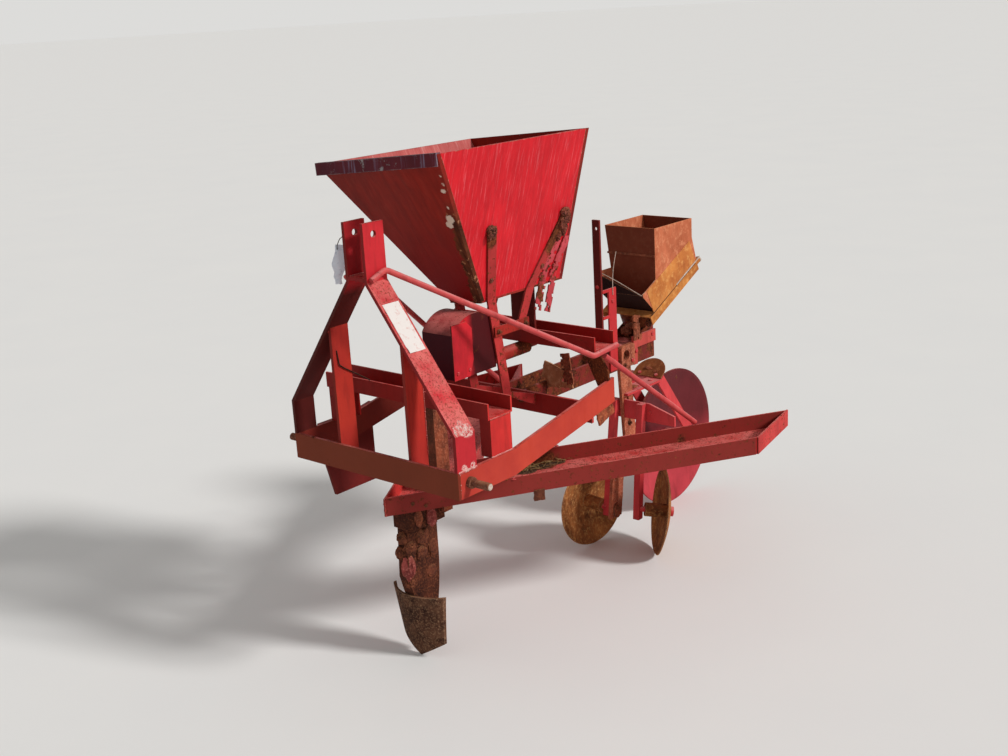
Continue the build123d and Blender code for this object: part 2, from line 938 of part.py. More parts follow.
with BuildPart() as lever:
    with BuildSketch(across(lever_y)):
        with Locations((beam_outer, lever_bottom)):
            Rectangle(
                lever_width, lever_top - lever_bottom, align=(Align.MIN, Align.MIN)
            )
        with Locations((beam_outer + lever_width / 2, lever_top - lever_width)):
            Circle(lever_hole, mode=Mode.SUBTRACT)
    extrude(amount=-lever_thickness)
keep(lever.part, "lever")

lever_rear = lever_y + lever_thickness
with BuildPart() as guide:
    with BuildSketch(along(beam_outer)):
        with Locations((guide_y, lever_bottom)):
            Rectangle(
                guide_width, guide_top - lever_bottom, align=(Align.MIN, Align.MIN)
            )
        with Locations((lever_rear, guide_top - link_height), (lever_rear, link_low_z)):
            Rectangle(guide_y - lever_rear, link_height, align=(Align.MIN, Align.MIN))
    extrude(amount=guide_thickness)
keep(guide.part, "lever_guide")

# Seed hopper, tray, pan and stand, on a slope that rises to the rear
slope = radians(tray_slope)
tray_plane = Plane(
    (0, tray_front, tray_front_z), x_dir=(1, 0, 0), z_dir=(0, -sin(slope), cos(slope))
)


def on_slope(run, depth):
    """Y and Z of a point so far up the slope and so deep under it."""
    point = tray_plane.from_local_coords((0, run, -depth))
    return (point.Y, point.Z)


def slope_z(y):
    """Height of the slope's own line at y."""
    return tray_front_z + (y - tray_front) * tan(slope)


def seed_left(z, wall):
    """X of the seed hopper's leaning left side at height z, so much inside its face."""
    return wall - seed_half_width + (seed_top - z) * seed_left_lean


def seed_block(outline, wall):
    """A block on an outline in Y and Z, as wide as the seed hopper less its two walls."""
    low = min(z for y, z in outline)
    high = max(z for y, z in outline)
    with BuildPart() as block:
        with BuildSketch(along(-seed_half_width)):
            with BuildLine():
                Polyline(*outline, close=True)
            make_face()
        extrude(amount=2 * seed_half_width)
        with BuildSketch(across(tray_front)):
            with BuildLine():
                Polyline(
                    (seed_left(high, wall), high),
                    (seed_left(low, wall), low),
                    (seed_half_width - wall, low),
                    (seed_half_width - wall, high),
                    close=True,
                )
            make_face()
        extrude(amount=-2 * (seed_rear - tray_front), mode=Mode.INTERSECT)
    return block.part


# The hopper's outside, the space in the bin and the space in the well before it
well_wall = 1.5 * seed_wall
toe_y, toe_z = on_slope(sheet_front_run, sheet_depth)
well_floor_share = (tray_front_z - well_floor) / (tray_front_z - toe_z)
well_floor_y = tray_front + well_floor_share * (toe_y - tray_front) + well_wall
bin_front = seed_front + seed_wall
outside = (
    (tray_front, tray_front_z),
    (tray_front, seed_lip_left),
    (seed_front, seed_lip_left),
    (seed_front, seed_top),
    (seed_rear, seed_top),
    (seed_rear, slope_z(seed_rear)),
    on_slope(tray_end, sheet_depth),
    (toe_y, toe_z),
)
bin_space = (
    (bin_front, slope_z(bin_front) - sheet_depth / cos(slope)),
    (bin_front, seed_top),
    (seed_rear - seed_wall, seed_top),
    (seed_rear - seed_wall, slope_z(seed_rear)),
    on_slope(tray_end - seed_wall, sheet_depth),
)
well_space = (
    (tray_front + well_wall, tray_front_z),
    (tray_front + well_wall, seed_lip_left),
    (seed_front, seed_lip_left),
    (seed_front, well_floor),
    (well_floor_y, well_floor),
)
outside_block = seed_block(outside, 0)
bin_block = seed_block(bin_space, seed_wall)
well_block = seed_block(well_space, seed_wall)
with BuildPart() as seed_hopper:
    add(outside_block)
    add(bin_block, mode=Mode.SUBTRACT)
    add(well_block, mode=Mode.SUBTRACT)
    with BuildSketch(across(tray_front)):
        with BuildLine():
            Polyline(
                (-seed_half_width, seed_lip_left),
                (seed_half_width, seed_lip_left),
                (seed_half_width, seed_lip_right),
                close=True,
            )
        make_face()
    extrude(amount=-well_wall, mode=Mode.SUBTRACT)
    with BuildSketch(along(seed_half_width - seed_wall)):
        with BuildLine():
            Polyline(
                (tray_front, tray_front_z),
                (seed_front, slope_z(seed_front)),
                (seed_front, seed_lip_left),
                (tray_front, seed_lip_left),
                close=True,
            )
        make_face()
    extrude(amount=seed_wall, mode=Mode.SUBTRACT)
keep(seed_hopper.part, "seed_hopper")

with BuildPart() as pan:
    with BuildSketch(tray_plane.offset(-pan_depth)):
        with Locations((0, pan_run)):
            Circle(pan_radius)
    extrude(amount=pan_depth - sheet_depth - tray_wall)
    with BuildSketch(tray_plane.offset(tray_wall - pan_depth)):
        with Locations((0, pan_run)):
            Circle(pan_radius - tray_wall)
    extrude(amount=pan_depth, mode=Mode.SUBTRACT)
keep(pan.part, "seed_pan")

with BuildPart() as tray:
    with BuildSketch(tray_plane.offset(-tray_depth)):
        with Locations((0, tray_start)):
            Rectangle(
                2 * seed_half_width, tray_end - tray_start, align=(Align.CENTER, Align.MIN)
            )
    extrude(amount=tray_depth - sheet_depth)
    with BuildSketch(tray_plane.offset(-tray_depth)):
        with Locations((0, 0)):
            Rectangle(
                2 * (seed_half_width - tray_wall),
                tray_end - tray_wall,
                align=(Align.CENTER, Align.MIN),
            )
    extrude(amount=tray_depth - sheet_depth - tray_wall, mode=Mode.SUBTRACT)
    knob_plane = Plane(
        tray_plane.from_local_coords((knob_x, tray_end, -knob_depth)),
        x_dir=(1, 0, 0),
        z_dir=tray_plane.y_dir,
    )
    with BuildSketch(knob_plane):
        Circle(knob_radius)
    extrude(amount=knob_length)
keep(tray.part, "seed_tray")

stand_bottom = beam_top + base_thickness
with BuildPart() as stand:
    with Locations((0, stand_front, stand_bottom)):
        Box(
            2 * stand_half_width,
            beam_rear - stand_front,
            seed_top - stand_bottom,
            align=(Align.CENTER, Align.MIN, Align.MIN),
        )
        Box(
            2 * (stand_half_width - stand_wall),
            beam_rear - stand_front - stand_wall,
            seed_top - stand_bottom,
            align=(Align.CENTER, Align.MIN, Align.MIN),
            mode=Mode.SUBTRACT,
        )
    split(bisect_by=tray_plane.offset(-pan_depth), keep=Keep.BOTTOM)
keep(stand.part, "seed_stand")

gear_middle = on_slope(gear_run, gear_depth)
with BuildPart() as gear:
    with BuildSketch(along(gear_x)):
        with Locations(gear_middle):
            Circle(gear_root)
            with PolarLocations(gear_root, gear_teeth):
                Rectangle(2 * (gear_tip - gear_root), gear_root / 4)
    extrude(amount=gear_width)
    with BuildSketch(along(gear_x + gear_width)):
        with Locations(gear_middle):
            Circle(gear_shaft_radius)
    extrude(amount=seed_half_width - tray_wall - gear_x - gear_width)
keep(gear.part, "drive_gear")

# Press wheel, the yoke and axle that carry it, and the half-round plate on the yoke
hub_bore = axle_radius + turning_clearance
tread_inner = wheel_radius - rim_height
with BuildPart() as wheel:
    with BuildSketch(Plane((0, wheel_y, wheel_radius), x_dir=(1, 0, 0), z_dir=(0, 0, 1))):
        with Locations((hub_x, hub_bore)):
            Rectangle(
                2 * hub_half_width, hub_radius - hub_bore, align=(Align.CENTER, Align.MIN)
            )
        with BuildLine():
            Polyline(
                (web_x, hub_radius - 1),
                (web_x, web_flat),
                (rim_x - rim_width, tread_inner),
                (rim_x - rim_width, wheel_radius),
                (rim_x, wheel_radius),
                (rim_x, tread_inner),
                (web_x + web_wall, web_flat),
                (web_x + web_wall, hub_radius - 1),
                close=True,
            )
        make_face()
    revolve(axis=Axis((0, wheel_y, wheel_radius), (1, 0, 0)))
keep(wheel.part, "press_wheel")

yoke_length = sqrt((wheel_y - yoke_y) ** 2 + (yoke_z - wheel_radius) ** 2)
yoke_up = Vector(0, (yoke_y - wheel_y) / yoke_length, (yoke_z - wheel_radius) / yoke_length)
yoke_plane = Plane(
    (0, wheel_y, wheel_radius), x_dir=(1, 0, 0), z_dir=(0, -yoke_up.Z, yoke_up.Y)
)
yoke_half = hub_half_width + side_clearance + yoke_thickness
yoke_left = hub_x - yoke_half
yoke_right = hub_x + yoke_half
with BuildPart() as yoke:
    with BuildSketch(yoke_plane):
        with Locations((hub_x, 0)):
            Rectangle(
                2 * yoke_half,
                yoke_length + yoke_thickness / 2,
                align=(Align.CENTER, Align.MIN),
            )
            Rectangle(
                2 * (yoke_half - yoke_thickness),
                yoke_length - yoke_thickness / 2,
                align=(Align.CENTER, Align.MIN),
                mode=Mode.SUBTRACT,
            )
    extrude(amount=yoke_width / 2, both=True)
    for start in (yoke_left, yoke_right - yoke_thickness):
        with BuildSketch(along(start)):
            with Locations((wheel_y, wheel_radius)):
                Circle(yoke_foot_radius)
        extrude(amount=yoke_thickness)
    with BuildSketch(along(yoke_left)):
        with Locations((wheel_y, wheel_radius)):
            Circle(axle_radius + seat)
    extrude(amount=2 * yoke_half, mode=Mode.SUBTRACT)
    with BuildSketch(Plane.XY.offset(tongue_bottom)):
        with BuildLine():
            Polyline(
                (shoe_x, tongue_front),
                (yoke_right, tongue_front),
                (yoke_right, yoke_y),
                (tongue_left, yoke_y),
                (tongue_left, tongue_notch),
                (shoe_x, tongue_notch),
                close=True,
            )
        make_face()
    extrude(amount=yoke_thickness)
keep(yoke.part, "wheel_straps")

with BuildPart() as axle:
    with BuildSketch(along(yoke_left)):
        with Locations((wheel_y, wheel_radius)):
            Circle(axle_radius)
    extrude(amount=2 * yoke_half)
    for start, run in ((yoke_right, 1), (yoke_left, -1)):
        with BuildSketch(along(start)):
            with Locations((wheel_y, wheel_radius)):
                RegularPolygon(axle_nut_radius, 6)
        extrude(amount=run * axle_nut_width)
keep(axle.part, "wheel_axle")

scraper_plane = Plane(
    yoke_plane.from_local_coords((scraper_x, yoke_length + yoke_thickness / 2, 0)),
    x_dir=(1, 0, 0),
    z_dir=yoke_up,
)
with BuildPart() as scraper:
    with BuildSketch(scraper_plane):
        with BuildLine():
            Polyline(
                (-scraper_half_width, scraper_straight),
                (-scraper_half_width, scraper_start),
                (scraper_half_width, scraper_start),
                (scraper_half_width, scraper_straight),
            )
            ThreePointArc(
                (scraper_half_width, scraper_straight),
                (0, scraper_straight + scraper_half_width),
                (-scraper_half_width, scraper_straight),
            )
        make_face()
    extrude(amount=scraper_thickness)
keep(scraper.part, "wheel_scraper")

# Covering discs, hollow to the row, their legs and the bars that carry the legs
disc_bars = []
for name, disc_x, disc_y, toe, disc_lean, bar_start, bar_end in disc_table:
    side = 1 if name == "right" else -1
    level = cos(radians(disc_lean))
    outward = Vector(
        side * cos(radians(toe)) * level, sin(radians(toe)) * level, -sin(radians(disc_lean))
    )
    centre = Vector(disc_x, disc_y, disc_radius * level)
    disc_plane = Plane(centre, x_dir=outward.cross(Vector(0, 0, 1)), z_dir=outward)
    disc_hole = spindle_radius + turning_clearance
    face = disc_dish - disc_thickness
    with BuildPart() as disc:
        profile_plane = Plane(centre, x_dir=outward, z_dir=outward.cross(Vector(0, 0, 1)))
        with BuildSketch(profile_plane):
            with BuildLine():
                ThreePointArc(
                    (0, disc_radius),
                    (0.75 * disc_dish, disc_radius / 2),
                    (disc_dish, disc_hole),
                )
                Line((disc_dish, disc_hole), (face, disc_hole))
                ThreePointArc(
                    (face, disc_hole),
                    (0.75 * disc_dish - disc_thickness, disc_radius / 2),
                    (-disc_thickness / 2, disc_radius - disc_thickness / 2),
                )
                Line(
                    (-disc_thickness / 2, disc_radius - disc_thickness / 2),
                    (0, disc_radius),
                )
            make_face()
            with Locations((-disc_hub_reach, disc_hole)):
                Rectangle(
                    disc_hub_reach + disc_dish - disc_thickness / 2,
                    disc_hub_radius - disc_hole,
                    align=(Align.MIN, Align.MIN),
                )
        revolve(axis=Axis(centre, outward))
    keep(disc.part, f"covering_disc_{name}")

    leg_reach = leg_size / 2 * (cos(radians(toe)) + sin(radians(toe)))
    lean_reach = disc_hub_radius * sin(radians(disc_lean))
    leg_offset = disc_hub_reach + spindle_gap + leg_reach + lean_reach
    leg_centre = centre - outward * leg_offset
    with BuildPart() as leg:
        for z, y in ((leg_bottom, leg_centre.Y), (disc_bar_bottom + disc_bar_height, leg_top_y)):
            with BuildSketch(Plane.XY.offset(z)):
                with Locations((leg_centre.X, y)):
                    Rectangle(leg_size, leg_size)
        loft()
        with BuildSketch(disc_plane.offset(-leg_offset)):
            Circle(spindle_radius)
        extrude(amount=leg_offset + disc_dish + spindle_gap + spindle_nut_width)
        with BuildSketch(disc_plane.offset(disc_dish + spindle_gap)):
            Circle(spindle_nut_radius)
        extrude(amount=spindle_nut_width)
    keep(leg.part, f"disc_leg_{name}")

    with BuildPart() as disc_bar:
        with BuildSketch(across(leg_top_y + leg_size / 2)):
            with BuildLine():
                Polyline(
                    (bar_start, disc_bar_bottom),
                    (bar_end, disc_bar_bottom),
                    (bar_end, disc_bar_bottom + disc_bar_height - disc_bar_taper),
                    (leg_centre.X + side * leg_size, disc_bar_bottom + disc_bar_height),
                    (bar_start, disc_bar_bottom + disc_bar_height),
                    close=True,
                )
            make_face()
        extrude(amount=-disc_bar_thickness)
    disc_bars += disc_bar.part.solids()
keep(Compound(disc_bars), "disc_bars")
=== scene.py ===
import bpy
import random
from math import cos, radians, sin
from mathutils import Matrix, Quaternion, Vector


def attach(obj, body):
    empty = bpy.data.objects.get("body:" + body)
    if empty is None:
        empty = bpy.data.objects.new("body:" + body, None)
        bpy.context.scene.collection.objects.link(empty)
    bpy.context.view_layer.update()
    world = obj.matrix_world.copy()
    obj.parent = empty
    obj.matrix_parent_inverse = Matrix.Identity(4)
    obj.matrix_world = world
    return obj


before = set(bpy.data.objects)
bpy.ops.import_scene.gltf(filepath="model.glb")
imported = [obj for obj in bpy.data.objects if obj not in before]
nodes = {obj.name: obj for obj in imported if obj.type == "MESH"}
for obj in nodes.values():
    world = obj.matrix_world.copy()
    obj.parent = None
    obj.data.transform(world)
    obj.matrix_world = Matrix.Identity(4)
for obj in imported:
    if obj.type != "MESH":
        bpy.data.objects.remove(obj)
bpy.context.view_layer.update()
print("planter frame loaded,", len(nodes), "nodes")


def tone(red, green, blue):
    # a colour as seen on a screen, 0 to 255, made linear
    made = []
    for value in (red, green, blue):
        share = value / 255
        made.append(share / 12.92 if share <= 0.04045 else ((share + 0.055) / 1.055) ** 2.4)
    return (*made, 1.0)


# millimetres from the front bar's face, made metres from the middle
barFace, metre = 919.5, 1000


def spot(x, y, z):
    return Vector((x / metre, (y - barFace) / metre, z / metre))


# what all finishes share: shine, how sharp edges are found, and how a spot's border wanders
surfaceBasics = {
    "shine": 0.08, "edgeSamples": 4, "edgeSpan": (0.995, 0.85), "spotNoise": (30, 6, 0.75), "spotSway": 2,
    "spotRim": 1.1, "spotCore": 0.85,
}


# shader building blocks, all read the piece's own object coordinates
class Surface:
    def __init__(self, name):
        self.material = bpy.data.materials.new(name)
        self.material.use_nodes = True
        self.tree = self.material.node_tree
        self.shader = self.tree.nodes["Principled BSDF"]
        self.shader.inputs["Specular IOR Level"].default_value = surfaceBasics["shine"]
        self.coords = self.add("ShaderNodeTexCoord")
        self.here = self.coords.outputs["Object"]

    def add(self, kind, **settings):
        made = self.tree.nodes.new(kind)
        for key, value in settings.items():
            setattr(made, key, value)
        return made

    def link(self, start, end):
        self.tree.links.new(start, end)

    def stretched(self, scale, turn=(0, 0, 0)):
        mapping = self.add("ShaderNodeMapping")
        mapping.inputs["Scale"].default_value = scale
        mapping.inputs["Rotation"].default_value = turn
        self.link(self.here, mapping.inputs["Vector"])
        return mapping.outputs["Vector"]

    def noise(self, scale, detail=4, rough=0.6, vector=None, distortion=0.0):
        made = self.add("ShaderNodeTexNoise")
        names = ("Scale", "Detail", "Roughness", "Distortion")
        for name, value in zip(names, (scale, detail, rough, distortion)):
            made.inputs[name].default_value = value
        self.link(vector or self.here, made.inputs["Vector"])
        return made.outputs["Fac"]

    def mask(self, mark, shift=0.0, vector=None, distortion=0.0):
        # noise cut off between two values, which a shift lowers together
        scale, detail, rough, low, high = mark[:5]
        pattern = self.noise(scale, detail, rough, vector, distortion)
        return self.remap(pattern, low - shift, high - shift, *mark[5:])

    def cells(self, scale):
        made = self.add("ShaderNodeTexVoronoi")
        made.inputs["Scale"].default_value = scale
        self.link(self.here, made.inputs["Vector"])
        return made.outputs["Distance"]

    def remap(self, value, low, high, outLow=0.0, outHigh=1.0):
        made = self.add("ShaderNodeMapRange")
        names = ("From Min", "From Max", "To Min", "To Max")
        for name, limit in zip(names, (low, high, outLow, outHigh)):
            made.inputs[name].default_value = limit
        self.link(value, made.inputs["Value"])
        return made.outputs["Result"]

    def math(self, kind, first, second, clamp=False):
        made = self.add("ShaderNodeMath", operation=kind, use_clamp=clamp)
        for socket, value in zip(made.inputs, (first, second)):
            if isinstance(value, (int, float)):
                socket.default_value = value
            else:
                self.link(value, socket)
        return made.outputs["Value"]

    def times(self, first, second):
        return self.math("MULTIPLY", first, second)

    def mix(self, share, first, second):
        # blends two colours, each a socket, a screen colour or four linear values
        made = self.add("ShaderNodeMix", data_type="RGBA")
        for socket, value in zip((made.inputs[0], made.inputs[6], made.inputs[7]), (share, first, second)):
            if isinstance(value, tuple):
                socket.default_value = tone(*value) if len(value) == 3 else value
            elif isinstance(value, (int, float)):
                socket.default_value = value
            else:
                self.link(value, socket)
        return made.outputs[2]

    def facing(self, axis, low, high):
        # grows on faces that look along one axis
        split = self.add("ShaderNodeSeparateXYZ")
        self.link(self.coords.outputs["Normal"], split.inputs["Vector"])
        return self.remap(split.outputs[axis], low, high)

    def place(self, axis):
        split = self.add("ShaderNodeSeparateXYZ")
        self.link(self.here, split.inputs["Vector"])
        return split.outputs[axis]

    def near(self, point, radius, ragged=0.6):
        # 1 round a point, with a ragged border
        basics = surfaceBasics
        reach = self.add("ShaderNodeVectorMath", operation="DISTANCE")
        self.link(self.here, reach.inputs[0])
        reach.inputs[1].default_value = spot(*point)
        wave = self.times(self.noise(*basics["spotNoise"]), ragged * radius * basics["spotSway"])
        swayed = self.math("ADD", reach.outputs["Value"], wave)
        return self.remap(swayed, radius * (basics["spotRim"] + ragged), radius * (basics["spotCore"] + ragged))

    def edges(self, radius):
        # 1 along sharp outer and inner edges
        bevel = self.add("ShaderNodeBevel", samples=surfaceBasics["edgeSamples"])
        bevel.inputs["Radius"].default_value = radius
        geometry = self.add("ShaderNodeNewGeometry")
        dot = self.add("ShaderNodeVectorMath", operation="DOT_PRODUCT")
        self.link(bevel.outputs["Normal"], dot.inputs[0])
        self.link(geometry.outputs["Normal"], dot.inputs[1])
        return self.remap(dot.outputs["Value"], *surfaceBasics["edgeSpan"])

    def bump(self, height, strength, distance):
        made = self.add("ShaderNodeBump")
        made.inputs["Strength"].default_value = strength
        made.inputs["Distance"].default_value = distance
        self.link(height, made.inputs["Height"])
        return made.outputs["Normal"]

    def finish(self, color, roughness, normal=None):
        self.link(color, self.shader.inputs["Base Color"])
        self.link(roughness, self.shader.inputs["Roughness"])
        if normal:
            self.link(normal, self.shader.inputs["Normal"])
        return self.material


# a mark is a noise's scale, detail and roughness, then where it starts and where it is full
steelMarks = {
    "blotch": (5.5, 5, 0.6, 0.35, 0.7), "streak": (1.0, 5, 0.6, 0.5, 0.8, 0, 0.5), "run": (45, 45, 7),
    "frontBlend": 0.3, "border": (18, 4), "borderSway": 0.02, "top": (0.3, 0.75),
    "chalk": (14, 5, 0.7, 0.3, 0.6), "flake": (95, 8, 0.8, 0.47, 0.5), "flakeRagged": 1.3,
    "bare": (9, 8, 0.72, 0.72, 0.76), "bareTwist": 0.4, "chip": (75, 6, 0.75, 0.70, 0.73),
    "speck": (190, 3, 0.6, 0.62, 0.66), "worn": (40, 5, 0.7, 0.42, 0.58), "bareRough": 0.9,
    "pit": (160, 4, 0.7), "pitOnPaint": 0.15, "bareSink": -0.5, "relief": (0.55, 0.0022),
}
rustMarks = {
    "broad": (6, 0.65, 0.35, 0.65), "fineTimes": 6, "fine": (5, 0.7, 0.5, 0.75),
    "streak": (1.0, 5, 0.65, 0.45, 0.75), "top": (0.2, 0.9), "dust": (22, 4, 0.7, 0.35, 0.65),
    "front": (-0.5, -0.9), "under": (-0.4, -0.6), "wellBlend": 0.004, "edgeWidth": 0.002,
    "scaleTimes": 1.5, "scale": (8, 0.7), "cellTimes": 5, "cellShare": 0.35, "relief": 0.004,
    "rough": (50, 4, 0.6, 0.3, 0.7, 0.75, 0.98),
}
boardMarks = {
    "grain": (1.0, 9, 0.7), "grainTwist": 0.6, "blotch": (4.5, 5, 0.6, 0.35, 0.68), "grainSpan": (0.42, 0.62),
    "brush": (1.0, 6, 0.75, 0.54, 0.70), "lowNoise": (9, 5), "lowSway": 0.1, "lowSpan": (1.38, 1.16),
    "flake": (16, 9, 0.78, 0.7, 0.73), "flakeTwist": 0.5, "edgeWidth": 0.004, "edge": (35, 5, 0.7, 0.4, 0.6),
    "rimNoise": (26, 6, 0.7), "rimSway": 1.6, "rimStart": 0.22, "rimFull": 0.30, "rotTop": (1.37, 1.3),
    "woodSpan": (0.35, 0.65), "woodPale": (38, 5, 0.7, 0.58, 0.66), "whiteRagged": 1.4, "bareRough": 0.95,
    "grainRelief": 0.8, "bareSink": -0.4, "relief": 0.003,
}
labelMarks = {
    "stain": (60, 6, 0.7, 0.56, 0.64, 0, 0.5), "rough": (30, 4, 0.6, 0, 1, 0.5, 0.7), "crease": (90, 3),
    "relief": (0.2, 0.0006),
}


def rustColor(s, dark, mid, bright, scale=28):
    broad = s.mask((scale,) + rustMarks["broad"])
    fine = s.mask((scale * rustMarks["fineTimes"],) + rustMarks["fine"])
    return s.mix(fine, s.mix(broad, dark, mid), bright)


def paintedSteel(name, look):
    # old red paint on steel: bleached on top, rusty at edges and in patches; forward faces turn brown, partly
    # grime and partly painted shade, and listed zones get painted shade
    s, marks = Surface(name), steelMarks
    paint = s.mix(s.mask(marks["blotch"]), look["paint"], look["paintDark"])
    paint = s.mix(s.mask(marks["streak"], vector=s.stretched(marks["run"])), paint, look["grime"])
    # painted shade with grime: faces that look forward are darkened towards the front colour
    front = s.facing("Y", look["frontFrom"], look["frontFrom"] - marks["frontBlend"])
    paint = s.mix(s.times(front, look["frontGrimeAndShade"]), paint, look["frontColor"])
    # painted shade: each listed zone, cut along one axis with a wandering border, is darkened towards the shade
    # colour
    for axis, start, end, share in look.get("paintedShadeZones", ()):
        border = s.times(s.noise(*marks["border"]), marks["borderSway"])
        zone = s.remap(s.math("ADD", s.place(axis), border), start, end, 0, share)
        paint = s.mix(zone, paint, look["paintedShadeColor"])
    top = s.facing("Z", *marks["top"])
    chalk = s.times(top, s.mask(marks["chalk"]))
    paint = s.mix(s.times(chalk, look["bleach"]), paint, look["chalk"])
    for point, radius in look.get("pale", ()):
        flaked = s.times(s.near(point, radius, marks["flakeRagged"]), s.mask(marks["flake"]))
        paint = s.mix(flaked, paint, look["paleColor"])
    rust = rustColor(s, look["rustDark"], look["rustMid"], look["rustBright"])
    bare = s.mask(marks["bare"], look["rust"], distortion=marks["bareTwist"])
    bare = s.math("MAXIMUM", bare, s.mask(marks["chip"], look["chips"]))
    bare = s.math("MAXIMUM", bare, s.times(top, s.mask(marks["speck"], look["specks"])))
    worn = s.times(s.edges(look["edgeWidth"]), s.mask(marks["worn"]))
    bare = s.math("MAXIMUM", bare, s.times(worn, look["edgeWear"]), clamp=True)
    for point, radius in look.get("worn", ()):
        bare = s.math("MAXIMUM", bare, s.near(point, radius), clamp=True)
    roughness = s.remap(bare, 0, 1, look["gloss"], marks["bareRough"])
    pits = s.times(s.noise(*marks["pit"]), s.remap(bare, 0, 1, marks["pitOnPaint"], 1.0))
    pits = s.math("ADD", pits, s.times(bare, marks["bareSink"]))
    return s.finish(s.mix(bare, paint, rust), roughness, s.bump(pits, *marks["relief"]))


def bareRust(name, look):
    # rusty steel with no paint left on it
    s, marks = Surface(name), rustMarks
    color = rustColor(s, look["dark"], look["mid"], look["bright"], look["scale"])
    streaks = s.mask(marks["streak"] + (0, look["streak"]), vector=s.stretched(look["grain"]))
    color = s.mix(streaks, color, look["streakColor"])
    dust = s.times(s.facing("Z", *marks["top"]), s.mask(marks["dust"]))
    color = s.mix(s.times(dust, look["dust"]), color, look["dustColor"])
    # painted shade with grime: faces that look forward are darkened towards the front colour
    front = s.times(s.facing("Y", *marks["front"]), look["frontGrimeAndShade"])
    color = s.mix(front, color, look["frontColor"])
    if look.get("wellFront"):
        # painted shade: the open well at the front and the faces that look down are painted dark
        inside = s.remap(s.place("Y"), look["wellFront"] + marks["wellBlend"], look["wellFront"])
        color = s.mix(inside, color, look["wellShadeColor"])
        color = s.mix(s.facing("Z", *marks["under"]), color, look["underShadeColor"])
    color = s.mix(s.times(s.edges(marks["edgeWidth"]), look["edge"]), color, look["edgeColor"])
    pits = s.times(s.cells(look["scale"] * marks["cellTimes"]), marks["cellShare"])
    scale = s.math("ADD", s.noise(look["scale"] * marks["scaleTimes"], *marks["scale"]), pits)
    return s.finish(color, s.mask(marks["rough"]), s.bump(scale, look["relief"], marks["relief"]))


def paintedBoard(name, look):
    # red paint brushed on a plank: grain and brush marks run down the board
    s, marks = Surface(name), boardMarks
    grain = s.noise(*marks["grain"], s.stretched(look["grain"], look["turn"]), marks["grainTwist"])
    paint = s.mix(s.mask(marks["blotch"]), look["paint"], look["paintDark"])
    paint = s.mix(s.remap(grain, *marks["grainSpan"], 0, look["grainShare"]), paint, look["grainColor"])
    brush = s.mask(marks["brush"] + (0, look["brushShare"]), vector=s.stretched(look["brush"], look["turn"]))
    paint = s.mix(brush, paint, look["brushColor"])
    sway = s.times(s.noise(*marks["lowNoise"]), marks["lowSway"])
    deep = s.remap(s.math("ADD", s.place("Z"), sway), *marks["lowSpan"])
    paint = s.mix(s.times(deep, look["low"]), paint, look["lowColor"])
    flaked = s.mask(marks["flake"], look["flake"], distortion=marks["flakeTwist"])
    edge = s.times(s.edges(marks["edgeWidth"]), s.mask(marks["edge"]))
    bare = s.math("MAXIMUM", flaked, s.times(edge, look["edge"]), clamp=True)
    if look["rot"]:
        # bare rotten wood up the right edge of the board, widest low down
        rim = s.math("ADD", s.place("X"), s.times(s.place("Z"), -look["slant"]))
        wander = s.times(s.noise(*marks["rimNoise"]), look["rot"] * marks["rimSway"])
        rotStart, rotFull = look["rot"] * marks["rimStart"], look["rot"] * marks["rimFull"]
        share = s.remap(s.math("ADD", rim, wander), look["rimAt"] + rotStart, look["rimAt"] + rotFull)
        rotten = s.times(share, s.remap(s.place("Z"), *marks["rotTop"]))
        bare = s.math("MAXIMUM", bare, rotten, clamp=True)
    wood = s.mix(s.remap(grain, *marks["woodSpan"]), look["wood"], look["woodDark"])
    wood = s.mix(s.mask(marks["woodPale"]), wood, look["woodPale"])
    color = s.mix(bare, paint, wood)
    for point, radius in look.get("white", ()):
        color = s.mix(s.near(point, radius, marks["whiteRagged"]), color, look["whiteColor"])
    height = s.times(grain, marks["grainRelief"])
    height = s.math("ADD", height, s.times(bare, marks["bareSink"]))
    roughness = s.remap(bare, 0, 1, look["gloss"], marks["bareRough"])
    return s.finish(color, roughness, s.bump(height, look["relief"], marks["relief"]))


def labelFace(name, base, stain):
    s, marks = Surface(name), labelMarks
    color = s.mix(s.mask(marks["stain"]), base, stain)
    return s.finish(color, s.mask(marks["rough"]), s.bump(s.noise(*marks["crease"]), *marks["relief"]))


# the looks: colours are as seen on a screen, lengths in metres, the rest are shares
framePaint = {
    "paint": (206, 50, 46), "paintDark": (172, 38, 38), "grime": (104, 32, 28), "bleach": 0.75,
    "chalk": (220, 124, 116), "gloss": 0.5, "specks": 0.0, "rust": 0.08, "chips": 0.03, "edgeWear": 0.8,
    "edgeWidth": 0.003, "frontGrimeAndShade": 0.65, "frontColor": (92, 28, 24), "frontFrom": -0.5,
    "paleColor": (216, 176, 168), "paintedShadeColor": (70, 30, 26), "rustDark": (62, 30, 22), "rustMid": (112, 56, 32),
    "rustBright": (165, 92, 54),
}
mastPaint = dict(
    framePaint, specks=0.06, bleach=0.95, rust=0.03, paint=(200, 46, 52), paintDark=(170, 36, 44),
    pale=(((322, 20, 800), 0.018), ((326, 56, 790), 0.02), ((314, 40, 815), 0.012),
          ((326, 30, 690), 0.012), ((326, 60, 688), 0.01)),
    # painted shade: the left diagonal is darkened almost fully towards the shade colour
    paintedShadeZones=(("X", -0.01, -0.05, 0.95),), paintedShadeColor=(72, 28, 24),
)
rodPaint = dict(
    framePaint, paint=(204, 84, 82), paintDark=(180, 62, 64), rust=0.02, bleach=0.6, chalk=(220, 150, 146),
    frontGrimeAndShade=0.2,
)
# the left upright gets a little painted shade
uprightPaint = dict(
    framePaint, paint=(192, 56, 42), paintDark=(166, 44, 40), rust=0.06, paintedShadeZones=(("X", -0.1, -0.14, 0.25),),
)
